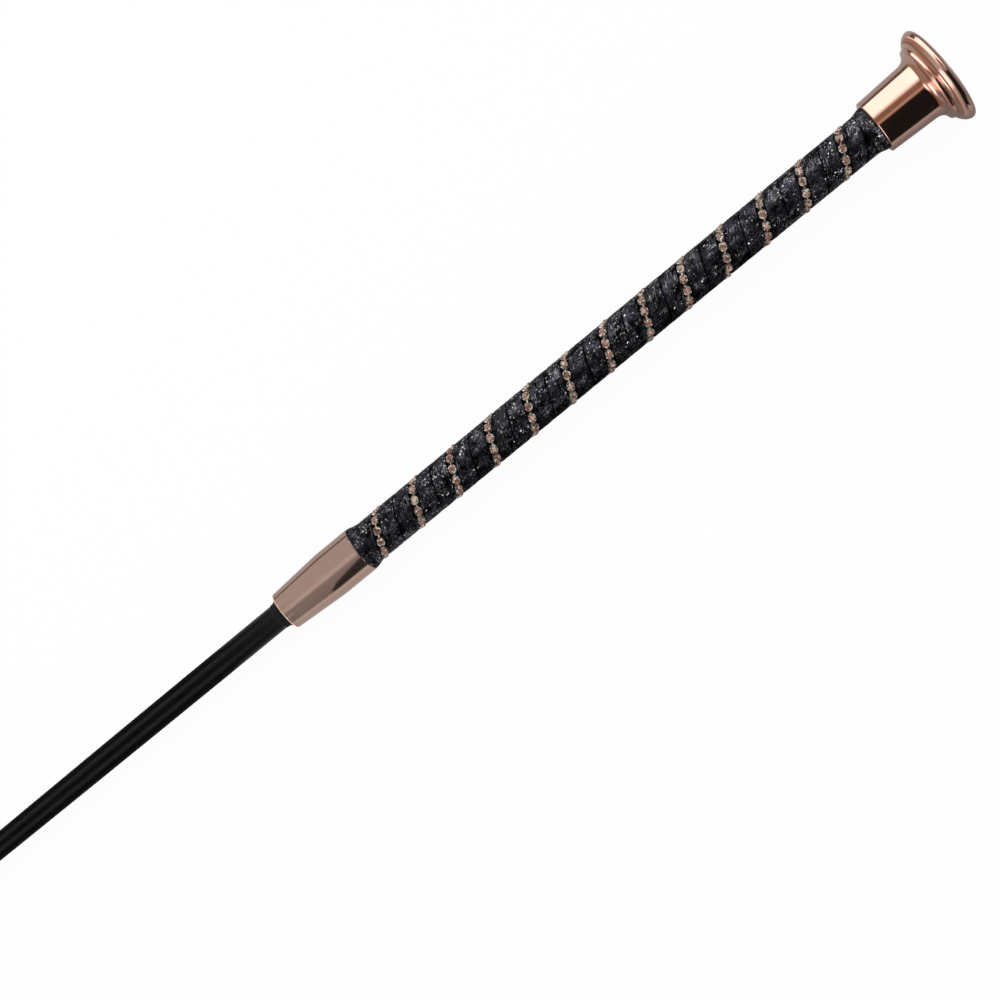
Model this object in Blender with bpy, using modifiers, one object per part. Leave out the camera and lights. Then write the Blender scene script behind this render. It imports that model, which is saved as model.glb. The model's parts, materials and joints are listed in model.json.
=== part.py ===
"""Dressage whip with a flared metal cap, a wound glitter grip and a bound-on lash.

Everything but the lash is modelled about the whip's own axis: local Z runs from the tip to the cap,
local X is the side that lies on the floor, and height 0 is the mouth of the cap.
An empty then lays the whip down, on the rim of its cap and on the binding at its tip.
All lengths are in metres.
"""

import math

import bpy
from mathutils import Vector

# Lengths along the whip
STICK_LENGTH = 0.870
CAP_LENGTH = 0.0306
GRIP_LENGTH = 0.242
FERRULE_LENGTH = 0.0375
BINDING_LENGTH = 0.021
LASH_LENGTH = 0.130

# Cap: a flared sleeve, and a round-edged button pressed into its end
CAP_MOUTH_RADIUS = 0.01065
CAP_NECK_RADIUS = 0.01145
CAP_FLARE_RADIUS = 0.0046
CAP_LIP_RADIUS = 0.0158
CAP_LIP_THICKNESS = 0.0007
CAP_LIP_EDGE = 0.0003
CAP_MOUTH_EDGE = 0.0004
BUTTON_RADIUS = 0.0194
BUTTON_THICKNESS = 0.0060
BUTTON_ROUND = 0.0017
BUTTON_LAND = 0.0004
BUTTON_SEAT_RADIUS = 0.0146
SPIGOT_RADIUS = 0.0060
SPIGOT_LENGTH = 0.0034

# Grip: a core, two glitter strips wound side by side, and a chain of stones in the gap between them
GRIP_RADIUS = 0.0080
STRIP_THICKNESS = 0.0020
SEAM_WIDTH = 0.0006
CHAIN_LEAD = 0.01813
CHAIN_FIRST_CROSSING = 0.0146
STONES_PER_TURN = 12
STONE_WIDTH = 0.0031
STONE_HEIGHT = 0.0021
STONE_PROUD = 0.00025
STONE_TABLE_SHARE = 0.72
STONE_SHOULDER_SHARE = 0.80
CHAIN_LINK_SHARE = 0.34
WINDING_TUCK = 0.004
END_BAND_THICKNESS = 0.0004
END_BAND_LENGTH = 0.0013
END_BAND_EDGE = 0.00015

# Ferrule at the foot of the grip, and the black collar that fills its lower mouth
FERRULE_TOP_RADIUS = 0.00925
FERRULE_FOOT_RADIUS = 0.0078
FERRULE_EDGE = 0.0005
FERRULE_STRAIGHT = 0.0155
FERRULE_KNEE = 0.0040
FERRULE_SLEEVE_DEPTH = 0.006
COLLAR_RADIUS = 0.0066
COLLAR_HEIGHT = 0.0060
COLLAR_EDGE = 0.0004

# Shaft: a tapered rod in a braided cover
SHAFT_BUTT_RADIUS = 0.00505
SHAFT_TIP_RADIUS = 0.0020
SHAFT_STRAIGHT = 0.020
ROD_BUTT_RADIUS = 0.0026
ROD_TIP_RADIUS = 0.0010
GRIP_CORE_FOOT = 0.012
TAPER_STEPS = 9

# Tip: the binding that holds the lash on the shaft, and the lash
BINDING_RADIUS = 0.00278
BINDING_FOOT_RADIUS = 0.00255
BINDING_SHOULDER = 0.0022
SHAFT_IN_BINDING = 0.010
LASH_ROOT_RADIUS = 0.00175
LASH_WAIST_RADIUS = 0.00142
LASH_NECK_RADIUS = 0.00160
LASH_END_RADIUS = 0.00240
LASH_FLARE_LENGTH = 0.011
LASH_SETTLE_LENGTH = 0.030
LASH_FLOOR_GAP = 0.0002
LASH_TURN = math.radians(8.0)

# How the lash lies in the photograph: shares of its length, and metres to one side
LASH_ROUTE = ((0.0, 0.0), (0.15, 0.0006), (0.42, -0.0004), (0.69, -0.0003), (1.0, 0.0003))

# Fit between touching pieces, and how finely round pieces are cut
CLEARANCE = 0.0003
CAP_SIDES = 30
GRIP_SIDES = 24
SHAFT_SIDES = 16
WINDING_STEPS_PER_TURN = 16
ARC_STEPS = 5
LASH_SEGMENTS = 18
ROOT_RINGS = 3

MERGE = 0.00001
TURN = 2.0 * math.pi

# Radii and heights that follow from the sizes above
strip_inner_radius = GRIP_RADIUS - STRIP_THICKNESS
grip_core_radius = strip_inner_radius * math.cos(math.pi / WINDING_STEPS_PER_TURN) - CLEARANCE
stone_top_radius = GRIP_RADIUS + STONE_PROUD
stone_base_radius = stone_top_radius - STONE_HEIGHT
band_inner_radius = stone_top_radius + CLEARANCE
band_outer_radius = band_inner_radius + END_BAND_THICKNESS
mouth_bore_radius = stone_top_radius + CLEARANCE
rod_bore_radius = ROD_BUTT_RADIUS + CLEARANCE

button_base = CAP_LENGTH - BUTTON_THICKNESS
body_top = button_base - CLEARANCE
spigot_foot = button_base - SPIGOT_LENGTH
cap_step = spigot_foot
grip_core_top = spigot_foot - CLEARANCE
ferrule_top = -GRIP_LENGTH
ferrule_foot = ferrule_top - FERRULE_LENGTH
grip_core_foot = ferrule_top - GRIP_CORE_FOOT
braid_top = grip_core_foot - CLEARANCE
binding_foot = CAP_LENGTH - STICK_LENGTH
binding_top = binding_foot + BINDING_LENGTH
shaft_tip = binding_top - SHAFT_IN_BINDING
lash_pivot_height = binding_foot - CLEARANCE - LASH_ROOT_RADIUS

# The chain climbs one lead per turn, so what is measured square to it is longer along the axis
winding_slope = math.atan2(CHAIN_LEAD, TURN * GRIP_RADIUS)
groove_rise = (STONE_WIDTH + 2.0 * CLEARANCE) / math.cos(winding_slope)
seam_rise = SEAM_WIDTH / math.cos(winding_slope)
strip_rise = (CHAIN_LEAD - groove_rise - seam_rise) / 2.0


def new_collection(name):
    """A collection linked to the scene."""
    collection = bpy.data.collections.new(name)
    bpy.context.scene.collection.children.link(collection)
    return collection


def material(name, colour, roughness, metallic=0.0):
    """A Principled material of one colour."""
    made = bpy.data.materials.new(name)
    made.use_nodes = True
    shader = made.node_tree.nodes["Principled BSDF"]
    shader.inputs["Base Color"].default_value = (*colour, 1.0)
    shader.inputs["Roughness"].default_value = roughness
    shader.inputs["Metallic"].default_value = metallic
    return made


def add_part(name, data, finish, parent):
    """Put a part's mesh or curve in the whip's collection, under the empty that places it."""
    part = bpy.data.objects.new(name, data)
    data.materials.append(finish)
    whip_parts.objects.link(part)
    part.parent = parent
    return part


def add_guide(name, data):
    """Put a cutter or a profile in its own collection, hidden from renders."""
    guide = bpy.data.objects.new(name, data)
    guide.hide_render = True
    guide.display_type = 'WIRE'
    guides.objects.link(guide)
    return guide


def add_empty(name):
    """An empty that places the parts under it."""
    empty = bpy.data.objects.new(name, None)
    whip_parts.objects.link(empty)
    return empty


def arc(centre_radius, centre_height, round_radius, start, end):
    """Outline points on a circular arc, its angles in degrees from outward towards the cap."""
    points = []
    for step in range(ARC_STEPS + 1):
        angle = math.radians(start + (end - start) * step / ARC_STEPS)
        radius = centre_radius + round_radius * math.cos(angle)
        points.append((radius, centre_height + round_radius * math.sin(angle)))
    return points


def line_mesh(name, outline, closed):
    """A mesh of edges through (radius, height) points."""
    mesh = bpy.data.meshes.new(name)
    points = [(radius, 0.0, height) for radius, height in outline]
    edges = [(index, index + 1) for index in range(len(points) - 1)]
    if closed:
        edges.append((len(points) - 1, 0))
    mesh.from_pydata(points, edges, [])
    return mesh


def turned(name, outline, sides, finish, closed=True):
    """A turned piece, with the middle of one of its flats towards the floor.

    The outline runs down the outer side first, and then up the bore of a hollow piece.
    """
    part = add_part(name, line_mesh(name, outline, closed), finish, whip)
    part.rotation_euler.z = math.pi / sides
    screw = part.modifiers.new("Turn", 'SCREW')
    screw.angle = TURN
    screw.steps = sides
    screw.render_steps = sides
    screw.use_merge_vertices = True
    screw.merge_threshold = MERGE
    return part


def winding_angle(height):
    """Angle of the chain at a height: left-handed, on top of the whip at its first crossing."""
    return math.pi - TURN * (height + CHAIN_FIRST_CROSSING) / CHAIN_LEAD


def on_winding(radius, height, rise=0.0):
    """Point of the winding that passes a height, moved along the axis by a rise."""
    angle = winding_angle(height)
    return Vector((radius * math.cos(angle), radius * math.sin(angle), height + rise))


def least_gap(points, steps_per_turn, width):
    """Least clear distance between turns of a winding, from the points along its middle."""
    apart = steps_per_turn // 2
    nearest = min(
        (points[first] - points[second]).length
        for first in range(len(points))
        for second in range(first + apart, min(first + 2 * steps_per_turn, len(points)))
    )
    return nearest - width


def sideways(place):
    """Sideways place of the lash at a share of its length: a smooth curve through its route."""
    last = len(LASH_ROUTE) - 1
    index = max(i for i in range(last) if LASH_ROUTE[i][0] <= place)
    before = LASH_ROUTE[max(index - 1, 0)]
    start = LASH_ROUTE[index]
    end = LASH_ROUTE[index + 1]
    after = LASH_ROUTE[min(index + 2, last)]
    share = (place - start[0]) / (end[0] - start[0])
    leave = (end[1] - before[1]) / 2.0
    arrive = (after[1] - start[1]) / 2.0
    square = share * share
    cube = square * share
    return (
        (2.0 * cube - 3.0 * square + 1.0) * start[1]
        + (cube - 2.0 * square + share) * leave
        + (3.0 * square - 2.0 * cube) * end[1]
        + (cube - square) * arrive
    )


def smooth_step(share):
    """0 to 1 with level ends."""
    share = min(max(share, 0.0), 1.0)
    return share * share * (3.0 - 2.0 * share)


def shaft_share(height):
    """How far the shaft has tapered at a height, from 0 at its butt to 1 at its tip."""
    start = ferrule_foot - SHAFT_STRAIGHT
    return smooth_step((start - height) / (start - shaft_tip))


def shaft_radius(height):
    """Outer radius of the braided shaft at a height."""
    return SHAFT_BUTT_RADIUS + (SHAFT_TIP_RADIUS - SHAFT_BUTT_RADIUS) * shaft_share(height)


def rod_radius(height):
    """Radius of the rod inside the shaft at a height."""
    return ROD_BUTT_RADIUS + (ROD_TIP_RADIUS - ROD_BUTT_RADIUS) * shaft_share(height)


def taper_heights():
    """Heights at which the tapered pieces are cut, from the butt of the taper to the tip."""
    start = ferrule_foot - SHAFT_STRAIGHT
    return [start + (shaft_tip - start) * step / TAPER_STEPS for step in range(TAPER_STEPS + 1)]


def make_cap_body():
    """Flared sleeve, open at its mouth for the grip, with a stepped bore for the button's spigot."""
    flare_height = body_top - CAP_LIP_THICKNESS - CAP_FLARE_RADIUS
    flare_centre = CAP_NECK_RADIUS + CAP_FLARE_RADIUS
    lip_start = math.degrees(math.acos((flare_centre - CAP_LIP_RADIUS) / CAP_FLARE_RADIUS))
    flare = arc(flare_centre, flare_height, CAP_FLARE_RADIUS, 180.0 - lip_start, 180.0)
    outline = [(CAP_LIP_RADIUS - CAP_LIP_EDGE, body_top)]
    outline.append((CAP_LIP_RADIUS, body_top - CAP_LIP_EDGE))
    outline.extend(flare)
    outline.append((CAP_MOUTH_RADIUS, CAP_MOUTH_EDGE))
    outline.append((CAP_MOUTH_RADIUS - CAP_MOUTH_EDGE, 0.0))
    outline.append((mouth_bore_radius, 0.0))
    outline.append((mouth_bore_radius, cap_step))
    outline.append((SPIGOT_RADIUS + CLEARANCE, cap_step))
    outline.append((SPIGOT_RADIUS + CLEARANCE, body_top))
    return turned("cap_body", outline, CAP_SIDES, rose_gold)


def make_cap_button():
    """Button with a flat end and a round edge, whose spigot sits in the sleeve."""
    round_radius = BUTTON_RADIUS - BUTTON_ROUND
    land_foot = CAP_LENGTH - BUTTON_ROUND - BUTTON_LAND
    under_round = land_foot - button_base
    outline = [(0.0, CAP_LENGTH)]
    outline.extend(reversed(arc(round_radius, CAP_LENGTH - BUTTON_ROUND, BUTTON_ROUND, 0.0, 90.0)))
    for step in range(ARC_STEPS + 1):
        angle = math.pi / 2.0 * step / ARC_STEPS
        radius = BUTTON_SEAT_RADIUS + (BUTTON_RADIUS - BUTTON_SEAT_RADIUS) * math.cos(angle)
        outline.append((radius, land_foot - under_round * math.sin(angle)))
    outline.append((SPIGOT_RADIUS, button_base))
    outline.append((SPIGOT_RADIUS, spigot_foot))
    outline.append((0.0, spigot_foot))
    return turned("cap_button", outline, CAP_SIDES, rose_gold, closed=False)


def make_rod():
    """Glass-fibre rod that runs from inside the cap to the tip."""
    outline = [(0.0, grip_core_top)]
    outline.append((ROD_BUTT_RADIUS, grip_core_top))
    outline.extend((rod_radius(height), height) for height in taper_heights())
    outline.append((0.0, shaft_tip))
    return turned("core_rod", outline, SHAFT_SIDES, glass_fibre, closed=False)


def make_grip_core():
    """Tube round the rod that the strips are wound on."""
    outline = [(grip_core_radius, grip_core_top)]
    outline.append((grip_core_radius, grip_core_foot))
    outline.append((rod_bore_radius, grip_core_foot))
    outline.append((rod_bore_radius, grip_core_top))
    return turned("grip_core", outline, GRIP_SIDES, black_foam)


def make_braid():
    """Braided cover of the shaft, from inside the ferrule to the tip."""
    heights = taper_heights()
    outline = [(SHAFT_BUTT_RADIUS, braid_top)]
    outline.extend((shaft_radius(height), height) for height in heights)
    outline.extend((rod_radius(height) + CLEARANCE, height) for height in reversed(heights))
    outline.append((rod_bore_radius, braid_top))
    return turned("shaft_braid", outline, SHAFT_SIDES, black_braid)


def make_strip(name, start_rise):
    """Glitter strip wound on the core: a line screwed at the chain's lead, thickened and trimmed."""
    spare = CHAIN_LEAD
    low = ferrule_top - WINDING_TUCK - spare
    high = WINDING_TUCK + spare
    turns = (high - low) / CHAIN_LEAD
    steps = round(turns * WINDING_STEPS_PER_TURN)
    edge = [(strip_inner_radius, low + start_rise + strip_rise), (strip_inner_radius, low + start_rise)]
    strip = add_part(name, line_mesh(name, edge, False), glitter, whip)
    strip.rotation_euler.z = winding_angle(low)
    screw = strip.modifiers.new("Wind", 'SCREW')
    screw.angle = -turns * TURN
    screw.screw_offset = high - low
    screw.steps = steps
    screw.render_steps = steps
    thick = strip.modifiers.new("Thickness", 'SOLIDIFY')
    thick.thickness = STRIP_THICKNESS
    thick.offset = -1.0
    trim = strip.modifiers.new("Trim", 'BOOLEAN')
    trim.operation = 'INTERSECT'
    trim.object = winding_trim
    middle = [
        on_winding(GRIP_RADIUS, low + (high - low) * step / steps, start_rise + strip_rise / 2.0)
        for step in range(steps + 1)
    ]
    gap = least_gap(middle, WINDING_STEPS_PER_TURN, strip_rise * math.cos(winding_slope))
    print(f"{name}: least gap between its turns {gap * 1000.0:.2f} mm")
    return strip


def make_chain():
    """Chain of stones in cups: one unbroken run that swells at each stone and thins at each link."""
    pitch = CHAIN_LEAD / STONES_PER_TURN
    stones = int((GRIP_LENGTH + 2.0 * WINDING_TUCK) / pitch)
    first = WINDING_TUCK - pitch
    spacing = pitch / math.sin(winding_slope)
    shoulder = STONE_WIDTH / 2.0 * STONE_SHOULDER_SHARE / spacing
    rings = ((0.0, 1.0), (shoulder, STONE_SHOULDER_SHARE), (0.5, CHAIN_LINK_SHARE))
    rings = ((-shoulder, STONE_SHOULDER_SHARE), *rings)
    places = [(stone + offset, share) for stone in range(stones) for offset, share in rings]
    curve = bpy.data.curves.new("rhinestone_chain", 'CURVE')
    curve.dimensions = '3D'
    curve.twist_mode = 'Z_UP'
    curve.bevel_mode = 'OBJECT'
    curve.bevel_object = stone_profile
    curve.use_fill_caps = True
    spline = curve.splines.new('POLY')
    spline.points.add(len(places) - 1)
    middle = []
    for point, (place, share) in zip(spline.points, places):
        middle.append(on_winding(stone_base_radius, first - place * pitch))
        point.co = (*middle[-1], 1.0)
        point.radius = share
    gap = least_gap(middle, STONES_PER_TURN * len(rings), STONE_WIDTH)
    print(f"rhinestone_chain: {stones} stones, least gap between its turns {gap * 1000.0:.2f} mm")
    return add_part("rhinestone_chain", curve, stone_and_cup, whip)


def make_end_band(name, mouth, towards_grip):
    """Thin black band over the strips' ends, flared against a metal mouth."""
    near = mouth + towards_grip * CLEARANCE
    far = near + towards_grip * END_BAND_LENGTH
    thin = band_inner_radius + END_BAND_EDGE
    outline = [
        (thin, far),
        (band_outer_radius, (near + far) / 2.0),
        (band_outer_radius, near),
        (band_inner_radius, near),
        (band_inner_radius, far),
    ]
    if towards_grip < 0.0:
        outline.reverse()
    return turned(name, outline, GRIP_SIDES, black_tape)


def ferrule_radius(depth):
    """Outer radius of the ferrule below its top: straight, then a cone, with a soft knee between them."""
    slope = (FERRULE_TOP_RADIUS - FERRULE_FOOT_RADIUS) / (FERRULE_LENGTH - FERRULE_STRAIGHT)
    past = depth - FERRULE_STRAIGHT
    half_knee = FERRULE_KNEE / 2.0
    if past <= -half_knee:
        return FERRULE_TOP_RADIUS
    if past < half_knee:
        return FERRULE_TOP_RADIUS - slope * (past + half_knee) ** 2 / (2.0 * FERRULE_KNEE)
    return FERRULE_TOP_RADIUS - slope * past


def make_ferrule():
    """Metal ferrule, straight over the grip's end and drawn in towards the shaft."""
    outline = [(FERRULE_TOP_RADIUS - FERRULE_EDGE / 2.0, ferrule_top)]
    outline.append((FERRULE_TOP_RADIUS, ferrule_top - FERRULE_EDGE / 2.0))
    for step in range(ARC_STEPS + 1):
        depth = FERRULE_STRAIGHT + FERRULE_KNEE * (step / ARC_STEPS - 0.5)
        outline.append((ferrule_radius(depth), ferrule_top - depth))
    foot_edge = FERRULE_LENGTH - FERRULE_EDGE
    outline.append((ferrule_radius(foot_edge), ferrule_top - foot_edge))
    core_seat = grip_core_foot - CLEARANCE
    outline.append((FERRULE_FOOT_RADIUS - FERRULE_EDGE, ferrule_foot))
    outline.append((COLLAR_RADIUS + CLEARANCE, ferrule_foot))
    outline.append((COLLAR_RADIUS + CLEARANCE, ferrule_foot + COLLAR_HEIGHT / 2.0 + CLEARANCE))
    outline.append((SHAFT_BUTT_RADIUS + CLEARANCE, ferrule_foot + COLLAR_HEIGHT / 2.0 + CLEARANCE))
    outline.append((SHAFT_BUTT_RADIUS + CLEARANCE, core_seat))
    outline.append((grip_core_radius + CLEARANCE, core_seat))
    outline.append((grip_core_radius + CLEARANCE, ferrule_top - FERRULE_SLEEVE_DEPTH))
    outline.append((mouth_bore_radius, ferrule_top - FERRULE_SLEEVE_DEPTH))
    outline.append((mouth_bore_radius, ferrule_top))
    return turned("ferrule", outline, GRIP_SIDES, satin_bronze)


def make_collar():
    """Black collar that fills the ferrule's lower mouth and runs out on the shaft."""
    top = ferrule_foot + COLLAR_HEIGHT / 2.0
    foot = ferrule_foot - COLLAR_HEIGHT / 2.0
    bore = SHAFT_BUTT_RADIUS + CLEARANCE
    outline = [
        (COLLAR_RADIUS, top),
        (COLLAR_RADIUS, ferrule_foot),
        (bore + COLLAR_EDGE, foot),
        (bore, foot),
        (bore, top),
    ]
    return turned("shaft_collar", outline, GRIP_SIDES, black_tape)


def make_binding():
    """Sleeve bound over the shaft's tip and the lash's tail, with a sloped shoulder at each end."""
    upper_bore = shaft_radius(binding_top) + CLEARANCE
    lower_bore = LASH_NECK_RADIUS + CLEARANCE
    step = shaft_tip - CLEARANCE
    outline = [
        (upper_bore + CLEARANCE, binding_top),
        (BINDING_RADIUS, binding_top - BINDING_SHOULDER),
        (BINDING_FOOT_RADIUS, binding_foot + BINDING_SHOULDER),
        (lower_bore + CLEARANCE, binding_foot),
        (lower_bore, binding_foot),
        (lower_bore, step),
        (upper_bore, step),
        (upper_bore, binding_top),
    ]
    return turned("tip_binding", outline, SHAFT_SIDES, black_thread)


def make_lash_tail():
    """The end of the lash that is held inside the binding."""
    top = shaft_tip - 2.0 * CLEARANCE
    outline = [(0.0, top), (LASH_NECK_RADIUS, top), (LASH_NECK_RADIUS, binding_foot), (0.0, binding_foot)]
    return turned("lash_tail", outline, SHAFT_SIDES, black_thread, closed=False)


def lash_radius(along):
    """Radius of the lash: thin at its waist, and flared at its cut end."""
    half = LASH_LENGTH / 2.0
    if along < half:
        share = smooth_step(along / half)
        return LASH_ROOT_RADIUS + (LASH_WAIST_RADIUS - LASH_ROOT_RADIUS) * share
    flare_start = LASH_LENGTH - LASH_FLARE_LENGTH
    if along < flare_start:
        share = smooth_step((along - half) / (flare_start - half))
        return LASH_WAIST_RADIUS + (LASH_NECK_RADIUS - LASH_WAIST_RADIUS) * share
    share = (along - flare_start) / LASH_FLARE_LENGTH
    return LASH_NECK_RADIUS + (LASH_END_RADIUS - LASH_NECK_RADIUS) * share


def make_lash(pivot_height):
    """Lash that lies on the floor, its rounded root on the pivot where it leaves the binding."""
    points = []
    for ring in range(ROOT_RINGS, 0, -1):
        angle = math.pi / 2.0 * ring / (ROOT_RINGS + 0.5)
        points.append((-LASH_ROOT_RADIUS * math.sin(angle), 0.0, 0.0, LASH_ROOT_RADIUS * math.cos(angle)))
    for segment in range(LASH_SEGMENTS + 1):
        along = LASH_LENGTH * segment / LASH_SEGMENTS
        radius = lash_radius(along)
        settled = smooth_step(along / LASH_SETTLE_LENGTH)
        drop = (radius + LASH_FLOOR_GAP - pivot_height) * settled
        points.append((along, sideways(along / LASH_LENGTH), drop, radius))
    curve = bpy.data.curves.new("lash", 'CURVE')
    curve.dimensions = '3D'
    curve.bevel_depth = 1.0
    curve.bevel_resolution = 2
    curve.use_fill_caps = True
    spline = curve.splines.new('POLY')
    spline.points.add(len(points) - 1)
    for point, (along, side, height, radius) in zip(spline.points, points):
        point.co = (along, side, height, 1.0)
        point.radius = radius
    lash = add_part("lash", curve, black_thread, lash_pivot)
    lash.rotation_euler.z = math.pi - LASH_TURN
    return lash


def cylinder_mesh(name, radius, low, high, sides):
    """A closed cylinder about the axis."""
    bpy.ops.mesh.primitive_cylinder_add(vertices=sides, radius=radius, depth=high - low)
    made = bpy.context.active_object
    mesh = made.data
    mesh.name = name
    for vertex in mesh.vertices:
        vertex.co.z += (high + low) / 2.0
    bpy.data.objects.remove(made)
    return mesh


def profile_curve(name, points):
    """A closed flat outline for a curve's bevel."""
    curve = bpy.data.curves.new(name, 'CURVE')
    curve.dimensions = '2D'
    spline = curve.splines.new('POLY')
    spline.points.add(len(points) - 1)
    for point, (across, up) in zip(spline.points, points):
        point.co = (across, up, 0.0, 1.0)
    spline.use_cyclic_u = True
    return curve


def box_of(parts):
    """Lowest and highest corner of the parts as they lie, in world space."""
    graph = bpy.context.evaluated_depsgraph_get()
    corners = []
    for part in parts:
        shown = part.evaluated_get(graph)
        mesh = shown.to_mesh()
        corners.extend(part.matrix_world @ vertex.co for vertex in mesh.vertices)
        shown.to_mesh_clear()
    low = Vector([min(corner[axis] for corner in corners) for axis in range(3)])
    high = Vector([max(corner[axis] for corner in corners) for axis in range(3)])
    return low, high


for old in list(bpy.data.objects):
    bpy.data.objects.remove(old, do_unlink=True)

whip_parts = new_collection("dressage_whip")
guides = new_collection("guides")

rose_gold = material("rose_gold", (0.83, 0.50, 0.37), 0.12, 1.0)
satin_bronze = material("satin_bronze", (0.40, 0.29, 0.25), 0.30, 1.0)
glitter = material("black_glitter", (0.012, 0.012, 0.015), 0.45)
stone_and_cup = material("stone_and_cup", (0.62, 0.40, 0.31), 0.15, 0.6)
black_foam = material("black_foam", (0.015, 0.015, 0.015), 0.80)
black_tape = material("black_tape", (0.010, 0.010, 0.011), 0.60)
black_braid = material("black_braid", (0.010, 0.010, 0.011), 0.50)
black_thread = material("black_thread", (0.008, 0.008, 0.009), 0.75)
glass_fibre = material("glass_fibre", (0.55, 0.58, 0.50), 0.40)

whip = add_empty("whip_axis")
lash_pivot = add_empty("lash_pivot")

trim_mesh = cylinder_mesh(
    "winding_trim", 2.0 * GRIP_RADIUS, ferrule_top - WINDING_TUCK, WINDING_TUCK, GRIP_SIDES
)
winding_trim = add_guide("winding_trim", trim_mesh)
winding_trim.parent = whip

half_width = STONE_WIDTH / 2.0
table = half_width * STONE_TABLE_SHARE
stone_profile = add_guide("stone_profile", profile_curve("stone_profile", (
    (0.0, -table),
    (0.0, table),
    (STONE_HEIGHT, half_width),
    (STONE_HEIGHT, -half_width),
)))

strip_a_rise = groove_rise / 2.0
strip_b_rise = strip_a_rise + strip_rise + seam_rise

stick = [
    make_cap_body(),
    make_cap_button(),
    make_rod(),
    make_grip_core(),
    make_braid(),
    make_strip("glitter_strip_a", strip_a_rise),
    make_strip("glitter_strip_b", strip_b_rise),
    make_chain(),
    make_end_band("upper_end_band", 0.0, -1.0),
    make_end_band("lower_end_band", ferrule_top, 1.0),
    make_ferrule(),
    make_collar(),
    make_binding(),
    make_lash_tail(),
]

# Lay the whip down: the foot of the button's land and the foot of the binding touch the floor
land_height = CAP_LENGTH - BUTTON_ROUND - BUTTON_LAND
rest_height = binding_foot + BINDING_SHOULDER
land_apothem = BUTTON_RADIUS * math.cos(math.pi / CAP_SIDES)
rest_apothem = BINDING_FOOT_RADIUS * math.cos(math.pi / SHAFT_SIDES)
tilt = math.atan2(land_apothem - rest_apothem, land_height - rest_height)
whip.rotation_euler.y = math.pi / 2.0 - tilt
bpy.context.view_layer.update()

# Put the origin under the middle of the stick, on the floor
box_low, box_high = box_of(stick)
whip.location = (-(box_low.x + box_high.x) / 2.0, -(box_low.y + box_high.y) / 2.0, -box_low.z)
bpy.context.view_layer.update()

lash_pivot.location = whip.matrix_world @ Vector((0.0, 0.0, lash_pivot_height))
make_lash(lash_pivot.location.z)
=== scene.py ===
"""A dressage whip: polished cap, grip wound with glitter strips and a stone chain, ferrule, shaft and lash.

Lengths are in metres. A height is measured along the whip from the cap's mouth, and grows towards the cap.
"""
import json
import math

import bmesh
import bpy
import numpy as np
from mathutils import Matrix


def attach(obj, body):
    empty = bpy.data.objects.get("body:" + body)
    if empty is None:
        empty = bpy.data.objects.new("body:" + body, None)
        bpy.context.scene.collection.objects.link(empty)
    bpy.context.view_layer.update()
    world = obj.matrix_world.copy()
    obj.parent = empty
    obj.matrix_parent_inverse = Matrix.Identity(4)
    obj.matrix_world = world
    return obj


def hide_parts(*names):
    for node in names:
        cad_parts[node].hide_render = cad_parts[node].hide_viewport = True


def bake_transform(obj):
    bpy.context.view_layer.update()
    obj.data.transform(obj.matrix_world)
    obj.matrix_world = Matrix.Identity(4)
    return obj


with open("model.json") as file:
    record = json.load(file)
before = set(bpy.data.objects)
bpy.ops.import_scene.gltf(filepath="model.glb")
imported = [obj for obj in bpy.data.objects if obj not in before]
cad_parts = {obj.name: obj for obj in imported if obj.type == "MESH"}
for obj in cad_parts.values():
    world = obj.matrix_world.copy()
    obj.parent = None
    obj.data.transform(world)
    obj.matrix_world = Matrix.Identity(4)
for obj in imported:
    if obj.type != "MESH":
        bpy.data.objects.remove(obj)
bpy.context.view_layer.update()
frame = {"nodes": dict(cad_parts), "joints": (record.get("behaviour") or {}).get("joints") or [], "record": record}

# Core rod: a tapered rod of drawn glass fibre that carries every other piece, from the cap to the tip.
# The grip and the braid hide it, so its solid stays, and takes the look of pale drawn fibres.


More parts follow.
